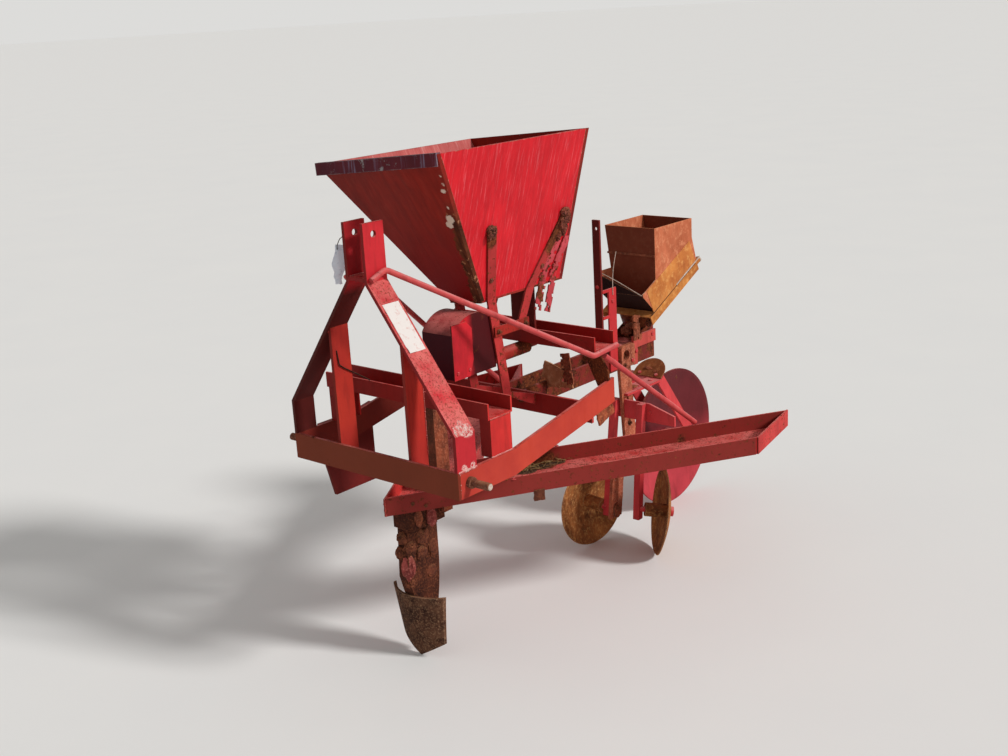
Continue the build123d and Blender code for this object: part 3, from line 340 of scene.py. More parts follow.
# the front bar: brown paint and a darker front, partly grime and partly painted shade
barShadeAndGrimePaint = dict(
    framePaint, paint=(140, 56, 38), paintDark=(104, 40, 28), frontGrimeAndShade=0.75, frontColor=(118, 54, 32),
    rust=0.1,
)
# the arms' forward faces get strong painted shade with grime
armPaint = dict(
    framePaint, frontGrimeAndShade=0.85, frontFrom=-0.2, frontColor=(118, 44, 38), specks=0.04, rust=0.07, chips=0.11,
    edgeWear=0.1, paint=(206, 62, 58),
    worn=(((345, 1010, 487), 0.035), ((118, 600, 487), 0.05), ((90, 205, 540), 0.02)),
)
railPaint = dict(
    framePaint, paint=(190, 66, 50), paintDark=(168, 52, 44), rust=0.03, chips=0.0, grime=(176, 52, 34),
    # painted shade: the left rail is darkened towards the shade colour
    paintedShadeZones=(("X", -0.2, -0.3, 0.7),),
)
postPaint = dict(framePaint, worn=(((280, 680, 810), 0.1), ((-280, 680, 810), 0.1)))
rustyPaint = dict(framePaint, rust=0.2, chips=0.1, bleach=0.4, paint=(165, 45, 38), paintDark=(120, 34, 28))
strapPaint = dict(
    framePaint, rust=0.16, chips=0.12, paint=(196, 60, 58), paintDark=(150, 42, 42),
    worn=(((166, 375, 1250), 0.05), ((166, 712, 1240), 0.07), ((140, 690, 1170), 0.05)),
)
# painted shade: the feed box's front face, and the rear of the box that lay in the hopper's shadow, are painted
# dark
feedPaint = dict(
    framePaint, paint=(196, 36, 44), paintDark=(150, 30, 40), rust=0.12, frontGrimeAndShade=0.95,
    frontColor=(52, 20, 28), paintedShadeZones=(("Y", -0.59, -0.565, 0.9),), paintedShadeColor=(44, 18, 20),
)
# beams and seed stand under the hopper: darker paint, partly rust and partly painted shade
rearShadeAndRustPaint = dict(
    framePaint, rust=0.27, chips=0.14, bleach=0.3, paint=(140, 44, 38), paintDark=(96, 34, 28),
    rustDark=(44, 24, 20),
)
shadePaint = dict(framePaint, paint=(124, 36, 32), paintDark=(88, 28, 26), rust=0.12, bleach=0.4)
unitPaint = dict(
    framePaint, rust=0.1, chips=0.06, paint=(210, 68, 70), paintDark=(176, 50, 54), chalk=(226, 140, 136),
    frontGrimeAndShade=0.0,
)
basePaint = dict(
    unitPaint, paint=(206, 84, 76), paintDark=(176, 66, 58), rust=0.2, chips=0.1, frontGrimeAndShade=0.2,
    rustMid=(150, 78, 54), rustBright=(204, 120, 90),
)
guidePaint = dict(unitPaint, paint=(206, 48, 50))
# painted shade: the wheel is painted dark from near its middle upwards
wheelPaint = dict(
    framePaint, rust=0.08, chips=0.05, paint=(188, 62, 70), paintDark=(150, 46, 54), frontGrimeAndShade=0.0,
    chalk=(190, 110, 104), edgeWear=1.0, rustBright=(200, 140, 118), paintedShadeZones=(("Z", 0.17, 0.32, 0.75),),
    paintedShadeColor=(46, 20, 22),
)
boardPaint = {
    "paint": (222, 36, 46), "paintDark": (200, 28, 38), "grain": (9, 60, 9), "turn": (radians(-30), 0, 0),
    "grainShare": 0.35, "grainColor": (150, 20, 28), "brush": (20, 150, 7), "brushShare": 0.5,
    "brushColor": (236, 120, 126), "flake": 0.0, "edge": 0.9, "gloss": 0.42, "relief": 0.35, "low": 0.0,
    "lowColor": (150, 24, 28), "rot": 0.0, "slant": 0.2933, "rimAt": -0.2098, "wood": (150, 132, 112),
    "woodDark": (86, 60, 40), "woodPale": (206, 190, 170), "whiteColor": (206, 188, 170),
}
# front and rear boards: a darker brown copy of the board paint, partly dirt and partly painted shade
boardShadeAndDirtPaint = dict(
    boardPaint, paint=(146, 36, 24), paintDark=(118, 28, 20), grainColor=(84, 20, 14), grain=(45, 9, 6),
    brush=(60, 20, 3), brushShare=0.12, brushColor=(170, 84, 66), turn=(0, 0, 0), low=0.8,
    lowColor=(116, 16, 20), rot=0.05, wood=(112, 58, 36), woodDark=(48, 24, 18), woodPale=(170, 118, 84),
    white=(((182, 165, 1395), 0.01), ((196, 150, 1415), 0.008), ((204, 136, 1440), 0.006),
           ((152, 222, 1316), 0.015), ((140, 232, 1296), 0.01), ((168, 200, 1350), 0.006)),
)
rearBoard = dict(boardShadeAndDirtPaint, rot=0.0, white=())
innerBoard = dict(
    boardPaint, paint=(205, 110, 104), paintDark=(176, 84, 80), brushColor=(224, 176, 170), flake=0.05,
)
# the lip: dark maroon, partly painted shade, with bluish streaks that are partly peeling paint and partly
# painted sheen
lipPaint = dict(
    boardShadeAndDirtPaint, paint=(104, 34, 44), paintDark=(72, 26, 38), brushColor=(150, 150, 178), brushShare=0.5,
    flake=0.12, low=0.0, rot=0.0, white=(), wood=(168, 160, 158), woodDark=(120, 112, 116),
)
scaleRust = {
    "dark": (46, 24, 20), "mid": (88, 46, 32), "bright": (140, 80, 52), "scale": 26, "grain": (40, 40, 10),
    "streak": 0.5, "streakColor": (30, 18, 16), "dust": 0.4, "dustColor": (168, 120, 84), "edge": 0.4,
    "edgeColor": (170, 104, 68), "relief": 0.9, "frontGrimeAndShade": 0.3, "frontColor": (52, 26, 22),
}
shovelRust = dict(
    scaleRust, mid=(104, 70, 52), bright=(164, 126, 96), frontGrimeAndShade=0.0, relief=0.5, edgeColor=(190, 160, 140),
    grain=(30, 30, 5),
)
# the seed hopper: painted shade on its forward faces, in its open well and on faces that look down
sheetRust = dict(
    scaleRust, dark=(168, 88, 58), mid=(204, 116, 82), bright=(222, 146, 108), scale=9, relief=0.2, streak=0.3,
    streakColor=(110, 58, 38), edgeColor=(226, 164, 118), dust=0.2, dustColor=(220, 170, 120), frontGrimeAndShade=0.85,
    frontColor=(96, 42, 30), wellFront=0.2665, wellShadeColor=(44, 26, 24), underShadeColor=(48, 28, 24),
)
ochreRust = dict(
    sheetRust, dark=(160, 92, 46), mid=(208, 134, 66), bright=(226, 164, 98), frontGrimeAndShade=0.3,
    frontColor=(130, 66, 36), wellFront=None,
)
standardRust = dict(
    scaleRust, dark=(92, 50, 38), mid=(158, 82, 56), bright=(196, 120, 90), frontGrimeAndShade=0.6,
    frontColor=(92, 66, 54), dustColor=(160, 96, 70),
)
openerLook = dict(standardRust, dark=(140, 70, 52), mid=(190, 104, 74), bright=(216, 146, 116), frontGrimeAndShade=0.2)
scraperLook = dict(
    ochreRust, dark=(96, 52, 32), mid=(150, 84, 48), bright=(196, 128, 84), dustColor=(190, 120, 76),
)
discRust = dict(
    scaleRust, dark=(104, 58, 34), mid=(176, 110, 60), bright=(214, 158, 98), scale=14, relief=0.4, edge=0.9,
    edgeColor=(206, 170, 130), frontGrimeAndShade=0.0,
)
pinSteel = dict(scaleRust, dark=(104, 62, 48), mid=(146, 92, 70), bright=(186, 140, 118), scale=30, relief=0.25)

print("finishing the frame")
finishTable = {
    paintedSteel: {
        "frameRed": (framePaint, ("front_channel", "rear_channel", "cross_bar")),
        "uprightRed": (uprightPaint, ("inner_uprights",)),
        "rodPink": (rodPaint, ("brace_rods", "arm_rods")),
        "mastRed": (mastPaint, ("mast_bars", "mast_spacer")),
        "barBrown": (barShadeAndGrimePaint, ("front_bar",)),
        "railRed": (railPaint, ("side_rails",)),
        "armRed": (armPaint, ("low_arms",)),
        "postRed": (postPaint, ("channel_posts",)),
        "shadeRed": (shadePaint, ("left_drop_plate", "lever", "hopper_bearer")),
        "rustyRed": (rustyPaint, ("strap_ties", "feed_tube", "hopper_floor")),
        "strapRed": (strapPaint, ("hopper_straps",)),
        "feedRed": (feedPaint, ("feed_box",)),
        "rearRed": (rearShadeAndRustPaint, ("planter_beams", "seed_stand", "seed_pan")),
        "basePink": (basePaint, ("base_plate",)),
        "unitRed": (unitPaint, ("disc_bars", "wheel_straps", "disc_leg_left", "disc_leg_right")),
        "guideRed": (guidePaint, ("lever_guide",)),
        "wheelRed": (wheelPaint, ("press_wheel",)),
    },
    paintedBoard: {
        "boardRight": (boardPaint, ("hopper_right_board",)),
        "boardFront": (boardShadeAndDirtPaint, ("hopper_front_board",)),
        "boardRear": (rearBoard, ("hopper_rear_board",)),
        "boardInner": (innerBoard, ("hopper_left_board",)),
        "lipRed": (lipPaint, ("hopper_lip",)),
    },
    bareRust: {
        "darkScale": (scaleRust, ("foot_clamp", "front_foot", "drive_gear", "wheel_axle")),
        "openerRust": (openerLook, ("opener_standard",)),
        "shovelScale": (shovelRust, ("shovel",)),
        "standardScale": (standardRust, ("middle_standard", "opener_shoe")),
        "hopperRust": (sheetRust, ("seed_hopper",)),
        "ochreRust": (ochreRust, ("seed_tray",)),
        "scraperRust": (scraperLook, ("wheel_scraper",)),
        "discScale": (discRust, ("covering_disc_left", "covering_disc_right")),
        "pinBare": (pinSteel, ("lower_pins",)),
    },
}


def dress(piece, finish):
    piece.data.materials.clear()
    piece.data.materials.append(finish)


for maker, looks in finishTable.items():
    for finishName, (look, members) in looks.items():
        finish = maker(finishName, look)
        for member in members:
            dress(nodes[member], finish)

# finishes of the small pieces
smallRust = dict(scaleRust, frontGrimeAndShade=0.0)
boltRust = bareRust("boltRust", dict(smallRust, mid=(110, 60, 44), relief=0.4))
boltRed = paintedSteel("boltRed", unitPaint)
beamOchre = bareRust("beamOchre", dict(
    ochreRust, dark=(128, 84, 58), mid=(172, 122, 86), bright=(212, 172, 134), frontGrimeAndShade=0.0,
))
bandOchre = bareRust("bandOchre", dict(ochreRust, dark=(176, 100, 52), mid=(214, 138, 72), frontGrimeAndShade=0.0))
weldRed = paintedSteel("weldRed", dict(
    framePaint, paint=(200, 84, 76), chalk=(228, 176, 170), bleach=1.0, pale=(((326, 38, 684), 0.05),),
))
gussetRust = bareRust("gussetRust", dict(
    standardRust, mid=(172, 84, 56), bright=(206, 130, 84), frontGrimeAndShade=0.0,
))
flakeRust = bareRust("flakeRust", dict(smallRust, mid=(120, 60, 46), bright=(190, 110, 96), relief=0.8))
earRust = bareRust("earRust", dict(
    smallRust, dark=(110, 48, 44), mid=(160, 76, 70), bright=(206, 124, 112), relief=0.7,
))
wallRust = bareRust("wallRust", dict(standardRust, frontGrimeAndShade=0.2))
# pale metal, also drawn on lit edges as a painted highlight
paleMetalAndHighlight = bareRust("paleMetalAndHighlight", dict(
    pinSteel, dark=(170, 150, 136), mid=(206, 190, 176), bright=(232, 222, 210), streak=0.2,
    streakColor=(120, 90, 70), frontGrimeAndShade=0.0,
))
soilBrown = bareRust("soilBrown", dict(
    smallRust, dark=(52, 36, 28), mid=(86, 62, 46), bright=(132, 104, 78), dust=0.0,
))
stripRed = paintedSteel("stripRed", dict(
    framePaint, paint=(204, 78, 86), paintDark=(170, 54, 60), rust=0.2, chips=0.12, frontGrimeAndShade=0.0,
))
# painted light: a lighter copy of the feed box paint, with no shade zones, for its sunlit side plate
feedPlateLitRed = paintedSteel("feedPlateLitRed", dict(feedPaint, paint=(222, 44, 52), rust=0.05, paintedShadeZones=()))
wireDark = bareRust("wireDark", dict(smallRust, dark=(26, 20, 20), mid=(40, 28, 26), bright=(70, 48, 42)))
strawPale = bareRust("strawPale", dict(
    smallRust, dark=(120, 104, 62), mid=(168, 148, 96), bright=(204, 188, 140), relief=0.1, streak=0.1,
))
labelWhite = labelFace("labelWhite", (222, 214, 208), (206, 150, 142))
tagGrey = labelFace("tagGrey", (232, 240, 250), (170, 186, 204))

# modelling steps that many pieces share, and what they go by
chance = random.Random(7)
facingLimit, mergeGap = 0.9, 0.00002


def deselect():
    bpy.ops.object.select_all(action="DESELECT")


def makeActive(piece):
    bpy.context.view_layer.objects.active = piece


def closeEdit():
    bpy.ops.object.mode_set(mode="OBJECT")


def looksUp(face):
    return face.normal.z > facingLimit


def pickFaces(piece, wanted):
    # opens a piece for editing with only the wanted faces selected
    makeActive(piece)
    bpy.ops.object.mode_set(mode="EDIT")
    bpy.ops.mesh.select_mode(type="FACE")
    bpy.ops.mesh.select_all(action="DESELECT")
    closeEdit()
    for face in piece.data.polygons:
        face.select = wanted(face)
    bpy.ops.object.mode_set(mode="EDIT")


def pushFaces(piece, wanted, step):
    pickFaces(piece, wanted)
    bpy.ops.transform.translate(value=step)
    closeEdit()


def applyScale():
    bpy.ops.object.transform_apply(location=False, rotation=False, scale=True)


def editAll():
    bpy.ops.object.mode_set(mode="EDIT")
    bpy.ops.mesh.select_all(action="SELECT")


def takeAlone(piece):
    deselect()
    piece.select_set(True)
    makeActive(piece)


def settle(piece, name, finish, smooth=40, body="frame"):
    # cleans a finished piece, gives it its finish and sets it on the frame
    takeAlone(piece)
    bpy.ops.object.transform_apply(location=True, rotation=True, scale=True)
    editAll()
    bpy.ops.mesh.remove_doubles(threshold=mergeGap)
    bpy.ops.mesh.normals_make_consistent(inside=False)
    closeEdit()
    bpy.ops.object.shade_smooth_by_angle(angle=radians(smooth))
    piece.name = name
    piece.data.name = name
    dress(piece, finish)
    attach(piece, body)


def joined(pieces):
    deselect()
    for piece in pieces:
        piece.select_set(True)
    makeActive(pieces[0])
    bpy.ops.object.join()
    return bpy.context.object


def turned(facing, twist=0.0):
    return Vector(facing).to_track_quat("Z", "Y") @ Quaternion((0, 0, 1), radians(twist))


def copies(model, places):
    # one copy with its own mesh at each place, direction, twist and size
    made = []
    for point, facing, twist, size in places:
        twin = model.copy()
        twin.data = model.data.copy()
        bpy.context.scene.collection.objects.link(twin)
        twin.rotation_mode = "QUATERNION"
        twin.rotation_quaternion = turned(facing, twist)
        twin.location = point
        twin.scale = size
        made.append(twin)
    whole = joined(made)
    bpy.data.objects.remove(model)
    return whole


# a bolt's steps from the plate outwards, in units of its head's radius
boltSteps = {
    "head": {"sides": 6, "radius": 1.0, "depth": 0.7, "lift": 0.53, "rim": 0.16, "rise": 0.14},
    "washer": {"sides": 18, "radius": 1.4, "depth": 0.2, "lift": 0.09, "rim": 0.1, "rise": 0.05},
    "stub": {"sides": 12, "radius": 0.52, "depth": 0.9, "lift": 1.2, "rim": 0.12, "rise": 0.1},
}


def boltStep(sides, radius, depth, lift, rim, rise):
    # a low cylinder whose upper face is drawn in and raised
    bpy.ops.mesh.primitive_cylinder_add(vertices=sides, radius=radius, depth=depth, location=(0, 0, lift))
    step = bpy.context.object
    pickFaces(step, looksUp)
    bpy.ops.mesh.inset(thickness=rim)
    bpy.ops.transform.translate(value=(0, 0, rise))
    closeEdit()
    return step


def boltModel(threaded):
    # a hexagon head on a washer, or a nut with the bolt's end through it
    steps = ("head", "washer", "stub") if threaded else ("head", "washer")
    return joined([boltStep(**boltSteps[step]) for step in steps])


front, rightward, leftward, upward = (0, -1, 0), (1, 0, 0), (-1, 0, 0), (0, 0, 1)
boardOut, armOut, yokeOut = (0.9596, 0, -0.2814), (0.848, -0.53, 0), (0, -0.604, 0.797)

print("bolts and nuts")
# each group: a bolt's end through it or not, its finish, then direction, radius and places
boltPlaces = {
    "strapBolts": (False, flakeRust, (
        (boardOut, 10, (165, 376, 1246), (163, 711, 1240)), (boardOut, 8, (121, 407, 1105), (121, 641, 1105)))),
    "tieNuts": (True, boltRust, (
        (rightward, 8, (109, 440, 945), (109, 563, 945)), (leftward, 8, (-39, 440, 945), (-39, 563, 945)))),
    "unitBolts": (False, boltRed, (
        (front, 8, (110, 1148, 498), (147, 1148, 504)), (front, 7, (66, 985, 966)),
        (rightward, 7, (58, 1076, 900)),
        (rightward, 8, (58, 1076, 690), (66, 1168, 675), (60, 1300, 738), (60, 1200, 700)))),
    "openerNuts": (True, boltRust, (
        (rightward, 8, (48, 1076, 162), (66, 1122, 668)), (rightward, 9, (40, 1170, 500), (40, 1175, 445)))),
    "yokeBolts": (False, boltRed, (
        (upward, 8, (30, 1250, 556), (30, 1325, 556)), (yokeOut, 7, (-43, 1364, 567), (27, 1364, 567)))),
    "armBolts": (False, boltRust, ((armOut, 6, (43.7, 100, 506), (63.8, 132, 494)),)),
    "rearNubs": (False, boltRed, ((upward, 6, (203, 361, 532), (136, 651, 532)),)),
    "dropBolts": (False, boltRust, ((leftward, 9, (-336, 125, 646), (-336, 285, 652)),)),
    "beamNuts": (True, boltRust, ((front, 9, (46, 600, 683), (-46, 600, 683)),)),
    "clampBolts": (True, boltRust, (
        (rightward, 10, (40, 122, 450), (40, 212, 450)), (leftward, 10, (-40, 122, 450), (-40, 212, 450)))),
    "baseBolts": (False, boltRust, ((upward, 8, (46, 1150, 724), (-46, 1150, 724), (-44, 1200, 724)),)),
    "feedBolts": (False, boltRed, ((rightward, 6, (98, 268, 858), (98, 318, 858)),)),
}
hexTwist, boltSmooth = 60, 30
for name, (threaded, finish, heads) in boltPlaces.items():
    places = []
    for facing, radius, *points in heads:
        size = radius / metre
        for point in points:
            places.append((spot(*point), facing, chance.uniform(0, hexTwist), (size, size, size)))
    settle(copies(boltModel(threaded), places), name, finish, smooth=boltSmooth)

print("weld beads")
# each bead: its ends, the way it looks and its radius; a pair is on both sides
welds = {
    "ripple": 3.4, "segments": 8, "rings": 5, "crestFrom": 0.3, "crest": (0.15, 0, -0.1), "wander": 0.0004,
    "sizes": (0.85, 1.15), "flat": 0.7, "smooth": 60, "lines": (
        ("pair", (326, 8, 684), (326, 73, 684), (0.7, 0, 0.7), 4.5),
        ("pair", (322, 145, 685), (322, 228, 685), (0.7, 0, 0.7), 3.5),
        ("pair", (322, 146, 792), (322, 226, 792), rightward, 3),
        ("one", (0, 31, 483), (0, 31, 532), front, 3.5), ("pair", (324, 10, 612), (324, 10, 681), rightward, 3),
        ("pair", (146, 12, 1011), (146, 74, 1011), (0.9, 0, 0.4), 3.5),
        ("pair", (-31, 7, 1181), (-31, 73, 1181), (0.7, 0, 0.7), 3),
        ("pair", (316, 600, 654), (316, 600, 712), (-0.7, -0.7, 0), 3.5),
        ("pair", (52, 610, 654), (52, 610, 712), (0.7, 0.7, 0), 3.5),
        ("one", (40, 614, 712), (52, 614, 712), upward, 3),
        ("one", (146, 76, 686), (146, 76, 1005), (0.7, 0.7, 0), 2.5),
    ),
}
bpy.ops.mesh.primitive_uv_sphere_add(segments=welds["segments"], ring_count=welds["rings"], radius=1.0)
ripple = bpy.context.object
pushFaces(ripple, lambda face: face.center.x > welds["crestFrom"], welds["crest"])
beads = []
for kind, *ends, radius in welds["lines"]:
    beads.append((*ends, radius))
    if kind == "pair":
        beads.append((*((-x, y, z) for x, y, z in ends), radius))
places = []
for start, end, facing, radius in beads:
    start, end = spot(*start), spot(*end)
    count = int((end - start).length * metre / welds["ripple"])
    for step in range(count + 1):
        wander = Vector([chance.uniform(-welds["wander"], welds["wander"]) for axis in range(3)])
        size = radius / metre * chance.uniform(*welds["sizes"])
        shape = (size, size, size * welds["flat"])
        places.append((start.lerp(end, step / count) + wander, facing, chance.uniform(0, 360), shape))
settle(copies(ripple, places), "frameWelds", weldRed, smooth=welds["smooth"])

print("label, tag and wires")
sheetColumns = 4


def thinSheet(center, lengthWay, faceWay, length, width, rows, thickness):
    # a grid of faces laid at a place: its length runs one way and it looks the other
    bpy.ops.mesh.primitive_grid_add(x_subdivisions=sheetColumns, y_subdivisions=rows, size=1)
    sheet = bpy.context.object
    longWay, outWay = Vector(lengthWay).normalized(), Vector(faceWay).normalized()
    sideWay = longWay.cross(outWay)
    sheet.matrix_world = Matrix.Translation(center) @ Matrix((sideWay, longWay, outWay)).transposed().to_4x4()
    sheet.scale = (width / metre, length / metre, 1)
    applyScale()
    thick = sheet.modifiers.new("thick", "SOLIDIFY")
    thick.thickness = thickness / metre
    thick.offset = 0
    return sheet


def applyAll(piece):
    takeAlone(piece)
    for modifier in list(piece.modifiers):
        bpy.ops.object.modifier_apply(modifier=modifier.name)


def roughen(piece, offset, seed):
    makeActive(piece)
    editAll()
    bpy.ops.transform.vertex_random(offset=offset / metre, uniform=0.2, normal=0.0, seed=seed)
    closeEdit()


mastSlope, mastOut = Vector((0.597, 0, -0.802)), Vector((0.802, 0, 0.597))
labelSheet = {
    "barTop": (41, 39, 1168), "along": 0.146, "lift": 0.0004, "size": (152, 60, 14, 0.5), "rough": 0.5,
    "seed": 3, "peelFrom": (0.012, 0.06), "peel": 0.0025,
}
labelCenter = spot(*labelSheet["barTop"]) + mastSlope * labelSheet["along"] + mastOut * labelSheet["lift"]
label = thinSheet(labelCenter, mastSlope, mastOut, *labelSheet["size"])
roughen(label, labelSheet["rough"], labelSheet["seed"])
# the lower corner peels off the bar
peelSide, peelFoot = labelSheet["peelFrom"]
peelStep = tuple(mastOut * labelSheet["peel"])
pushFaces(label, lambda face: face.center.y > peelFoot and face.center.x > peelSide, peelStep)
applyAll(label)
settle(label, "mastLabel", labelWhite)

tagSheet = {
    "center": (-88, 22, 1205), "hang": (0.02, 0.12, 1), "face": (0.75, -0.66, 0), "size": (108, 40, 10, 0.8),
    "narrowing": ((0.012, 0.9), (0.026, 0.85), (0.038, 0.8)), "footNarrower": 0.08, "lean": 0.004, "rough": 2.5,
    "seed": 5,
}
tag = thinSheet(spot(*tagSheet["center"]), tagSheet["hang"], tagSheet["face"], *tagSheet["size"])
for reach, share in tagSheet["narrowing"]:
    # narrower step by step towards both ends, most at the foot
    for end, width in ((1, share), (-1, share - tagSheet["footNarrower"])):
        pickFaces(tag, lambda face: face.center.y * end > reach)
        middle = tag.matrix_world @ Vector((tagSheet["lean"] * end, reach * end, 0))
        bpy.ops.transform.resize(value=(width, width, 1), center_override=tuple(middle))
        closeEdit()
roughen(tag, tagSheet["rough"], tagSheet["seed"])
applyAll(tag)
settle(tag, "mastTag", tagGrey)

# rigid wires and rods: finish, radius, then the points they pass
wires = {
    "tagWire": (wireDark, 1.3, (
        (-34, 36, 1287), (-46, 33, 1290), (-62, 28, 1288), (-78, 23, 1276), (-88, 21, 1258), (-88, 20, 1246))),
    "uprightWire": (wireDark, 2.0, (
        (-135, 24, 956), (-133, 25, 935), (-132, 27, 913), (-132, 45, 899), (-132, 69, 884), (-132, 104, 862),
        (-132, 139, 839))),
    "guideWire": (paleMetalAndHighlight, 1.3, (
        (60, 1076, 920), (60, 1076, 954), (59, 1079, 980), (59, 1083, 1006), (58, 1093, 1034),
        (57, 1105, 1062))),
    # painted highlight: a pale wire along the well's rim stands for its lit edge
    "wellRimHighlight": (paleMetalAndHighlight, 1.6, (
        (-80, 1184, 967), (-40, 1184, 954), (10, 1184, 936), (60, 1184, 915), (99, 1184, 899), (101, 1204, 908),
        (101, 1236, 923), (101, 1262, 936))),
    "traySeam": (wireDark, 1.8, ((104, 1234, 820), (104, 1374, 887), (104, 1514, 953))),
    # the rod along the tray is drawn pale, partly its bare metal and partly a painted highlight
    "trayRodHighlight": (paleMetalAndHighlight, 2.8, (
        (105, 1386, 897), (106, 1396, 903), (106, 1460, 934), (106, 1527, 966), (104, 1540, 972))),
}
wireStart, wireSmooth = 0.001, 60
for name, (finish, radius, points) in wires.items():
    # drawn point by point from one small vertex, then given its round section
    bpy.ops.mesh.primitive_plane_add(size=wireStart, location=(0, 0, 0))
    wire = bpy.context.object
    editAll()
    bpy.ops.mesh.select_mode(type="VERT")
    bpy.ops.mesh.merge(type="CENTER")
    bpy.ops.transform.translate(value=tuple(spot(*points[0])))
    for here, there in zip(points, points[1:]):
        step = spot(*there) - spot(*here)
        bpy.ops.mesh.extrude_region_move(TRANSFORM_OT_translate={"value": tuple(step)})
    closeEdit()
    skin = wire.modifiers.new("skin", "SKIN")
    skin.use_smooth_shade = True
    for vertex in wire.data.skin_vertices[0].data:
        vertex.radius = (radius / metre, radius / metre)
    wire.data.skin_vertices[0].data[0].use_root = True
    wire.modifiers.new("rounded", "SUBSURF").levels = 1
    applyAll(wire)
    settle(wire, name, finish, smooth=wireSmooth)

print("caps, plates and ragged rust")
# discs with a softened rim, squeezed and roughened where rust has eaten them
roundPlates = {
    "knobCap": {"center": (90, 1554.5, 957), "facing": (0, 0.9026, 0.4305), "size": (11, 6),
                "finish": paleMetalAndHighlight},
    "pinFaceRight": {"center": (398, 45, 648), "facing": rightward, "size": (9, 1), "finish": paleMetalAndHighlight},
    "clampEar": {"center": (46, 168, 444), "facing": (0.93, -0.34, 0.15), "size": (20, 9), "finish": earRust,
                 "squeeze": (0.8, 1.5), "rough": 3.6, "seed": 4},
    "clampTab": {"center": (43, 118, 455), "facing": (0.8, -0.6, 0), "size": (18, 9), "finish": wallRust,
                 "squeeze": (0.7, 1.5), "rough": 2.2, "seed": 5},
    "shankPlate": {"center": (14, 92, 302), "facing": (0.5, -0.85, 0.15), "size": (27, 14), "finish": earRust,
                   "squeeze": (0.75, 1.35), "rough": 5.0, "seed": 6},
}
plateSides, rimOfRadius, rimOfThickness, plateRise = 20, 0.14, 0.5, 0.15
for name, shape in roundPlates.items():
    radius, thickness = shape["size"]
    bpy.ops.mesh.primitive_cylinder_add(vertices=plateSides, radius=radius / metre, depth=thickness / metre)
    plate = bpy.context.object
    pickFaces(plate, lambda face: abs(face.normal.z) > facingLimit)
    bpy.ops.mesh.inset(thickness=min(radius * rimOfRadius, thickness * rimOfThickness) / metre)
    closeEdit()
    rise = (0, 0, thickness * plateRise / metre)
    pushFaces(plate, lambda face: looksUp(face) and len(face.vertices) == plateSides, rise)
    if "rough" in shape:
        roughen(plate, shape["rough"], shape["seed"])
    plate.rotation_mode = "QUATERNION"
    plate.rotation_quaternion = turned(shape["facing"])
    plate.location = spot(*shape["center"])
    plate.scale = shape.get("squeeze", (1, 1)) + (1,)
    settle(plate, name, shape["finish"])

# clods and scale: finish, turn, then centre and half sizes of each, some with their own turn
lumpGroups = {
    "footScale": (boltRust, (0, 0, 0), (
        ((0, 90, 392), (19, 14, 20), (0, 0, 10)), ((14, 100, 360), (16, 18, 26), (0, 20, 0)),
        ((-8, 86, 345), (16, 12, 22), (0, 0, 30)), ((20, 150, 382), (10, 26, 24), (10, 0, 0)),
        ((20, 190, 330), (9, 20, 30)), ((20, 140, 330), (10, 22, 26), (0, 10, 0)),
        ((0, 210, 340), (16, 12, 30)), ((18, 178, 262), (8, 22, 22)),
        ((-18, 150, 350), (8, 26, 30)), ((6, 100, 250), (18, 14, 18)),
        ((0, 212, 408), (18, 10, 12)), ((-18, 190, 290), (8, 18, 24)))),
    "strapScale": (flakeRust, (0, 16, 0), (
        ((164, 370, 1262), (8, 16, 12)), ((162, 386, 1250), (7, 9, 20)),
        ((166, 362, 1244), (6, 8, 16)), ((166, 705, 1262), (9, 20, 14)),
        ((160, 722, 1240), (8, 12, 22)), ((158, 700, 1226), (8, 14, 18)),
        ((151, 716, 1206), (7, 12, 22)), ((144, 696, 1188), (7, 10, 18)))),
    "wellBits": (wallRust, (0, 0, 0), (
        ((56, 1204, 812), (9, 16, 12)), ((30, 1212, 782), (18, 14, 10)),
        ((62, 1196, 786), (8, 14, 14)), ((8, 1216, 760), (22, 12, 16)))),
    "yokeDirt": (wallRust, (0, 0, 0), (
        ((-20, 1392, 578), (26, 16, 7)), ((18, 1384, 572), (18, 12, 8)),
        ((25, 1230, 558), (12, 14, 5)))),
    "armDirt": (soilBrown, (0, 0, -30), (
        ((112, 520, 486), (30, 40, 4)), ((128, 570, 486), (24, 40, 4)),
        ((146, 620, 486), (16, 40, 3)))),
}
clodDetail, clodRough, firstClodSeed, brokenSmooth = 3, 0.35, 10, 35
for name, (finish, groupTurn, clods) in lumpGroups.items():
    made = []
    for number, (center, size, *ownTurn) in enumerate(clods):
        bpy.ops.mesh.primitive_ico_sphere_add(subdivisions=clodDetail, radius=1.0)
        clod = bpy.context.object
        clod.scale = tuple(value / metre for value in size)
        applyScale()
        roughen(clod, min(size) * clodRough, firstClodSeed + number)
        clod.rotation_euler = tuple(radians(value) for value in (ownTurn or [groupTurn])[0])
        clod.location = spot(*center)
        made.append(clod)
    settle(joined(made), name, finish, smooth=brokenSmooth)

stripWay, stripFoot = Vector((0.2814, 0.33, 0.9)), (0.0, 0.33, 0.94)
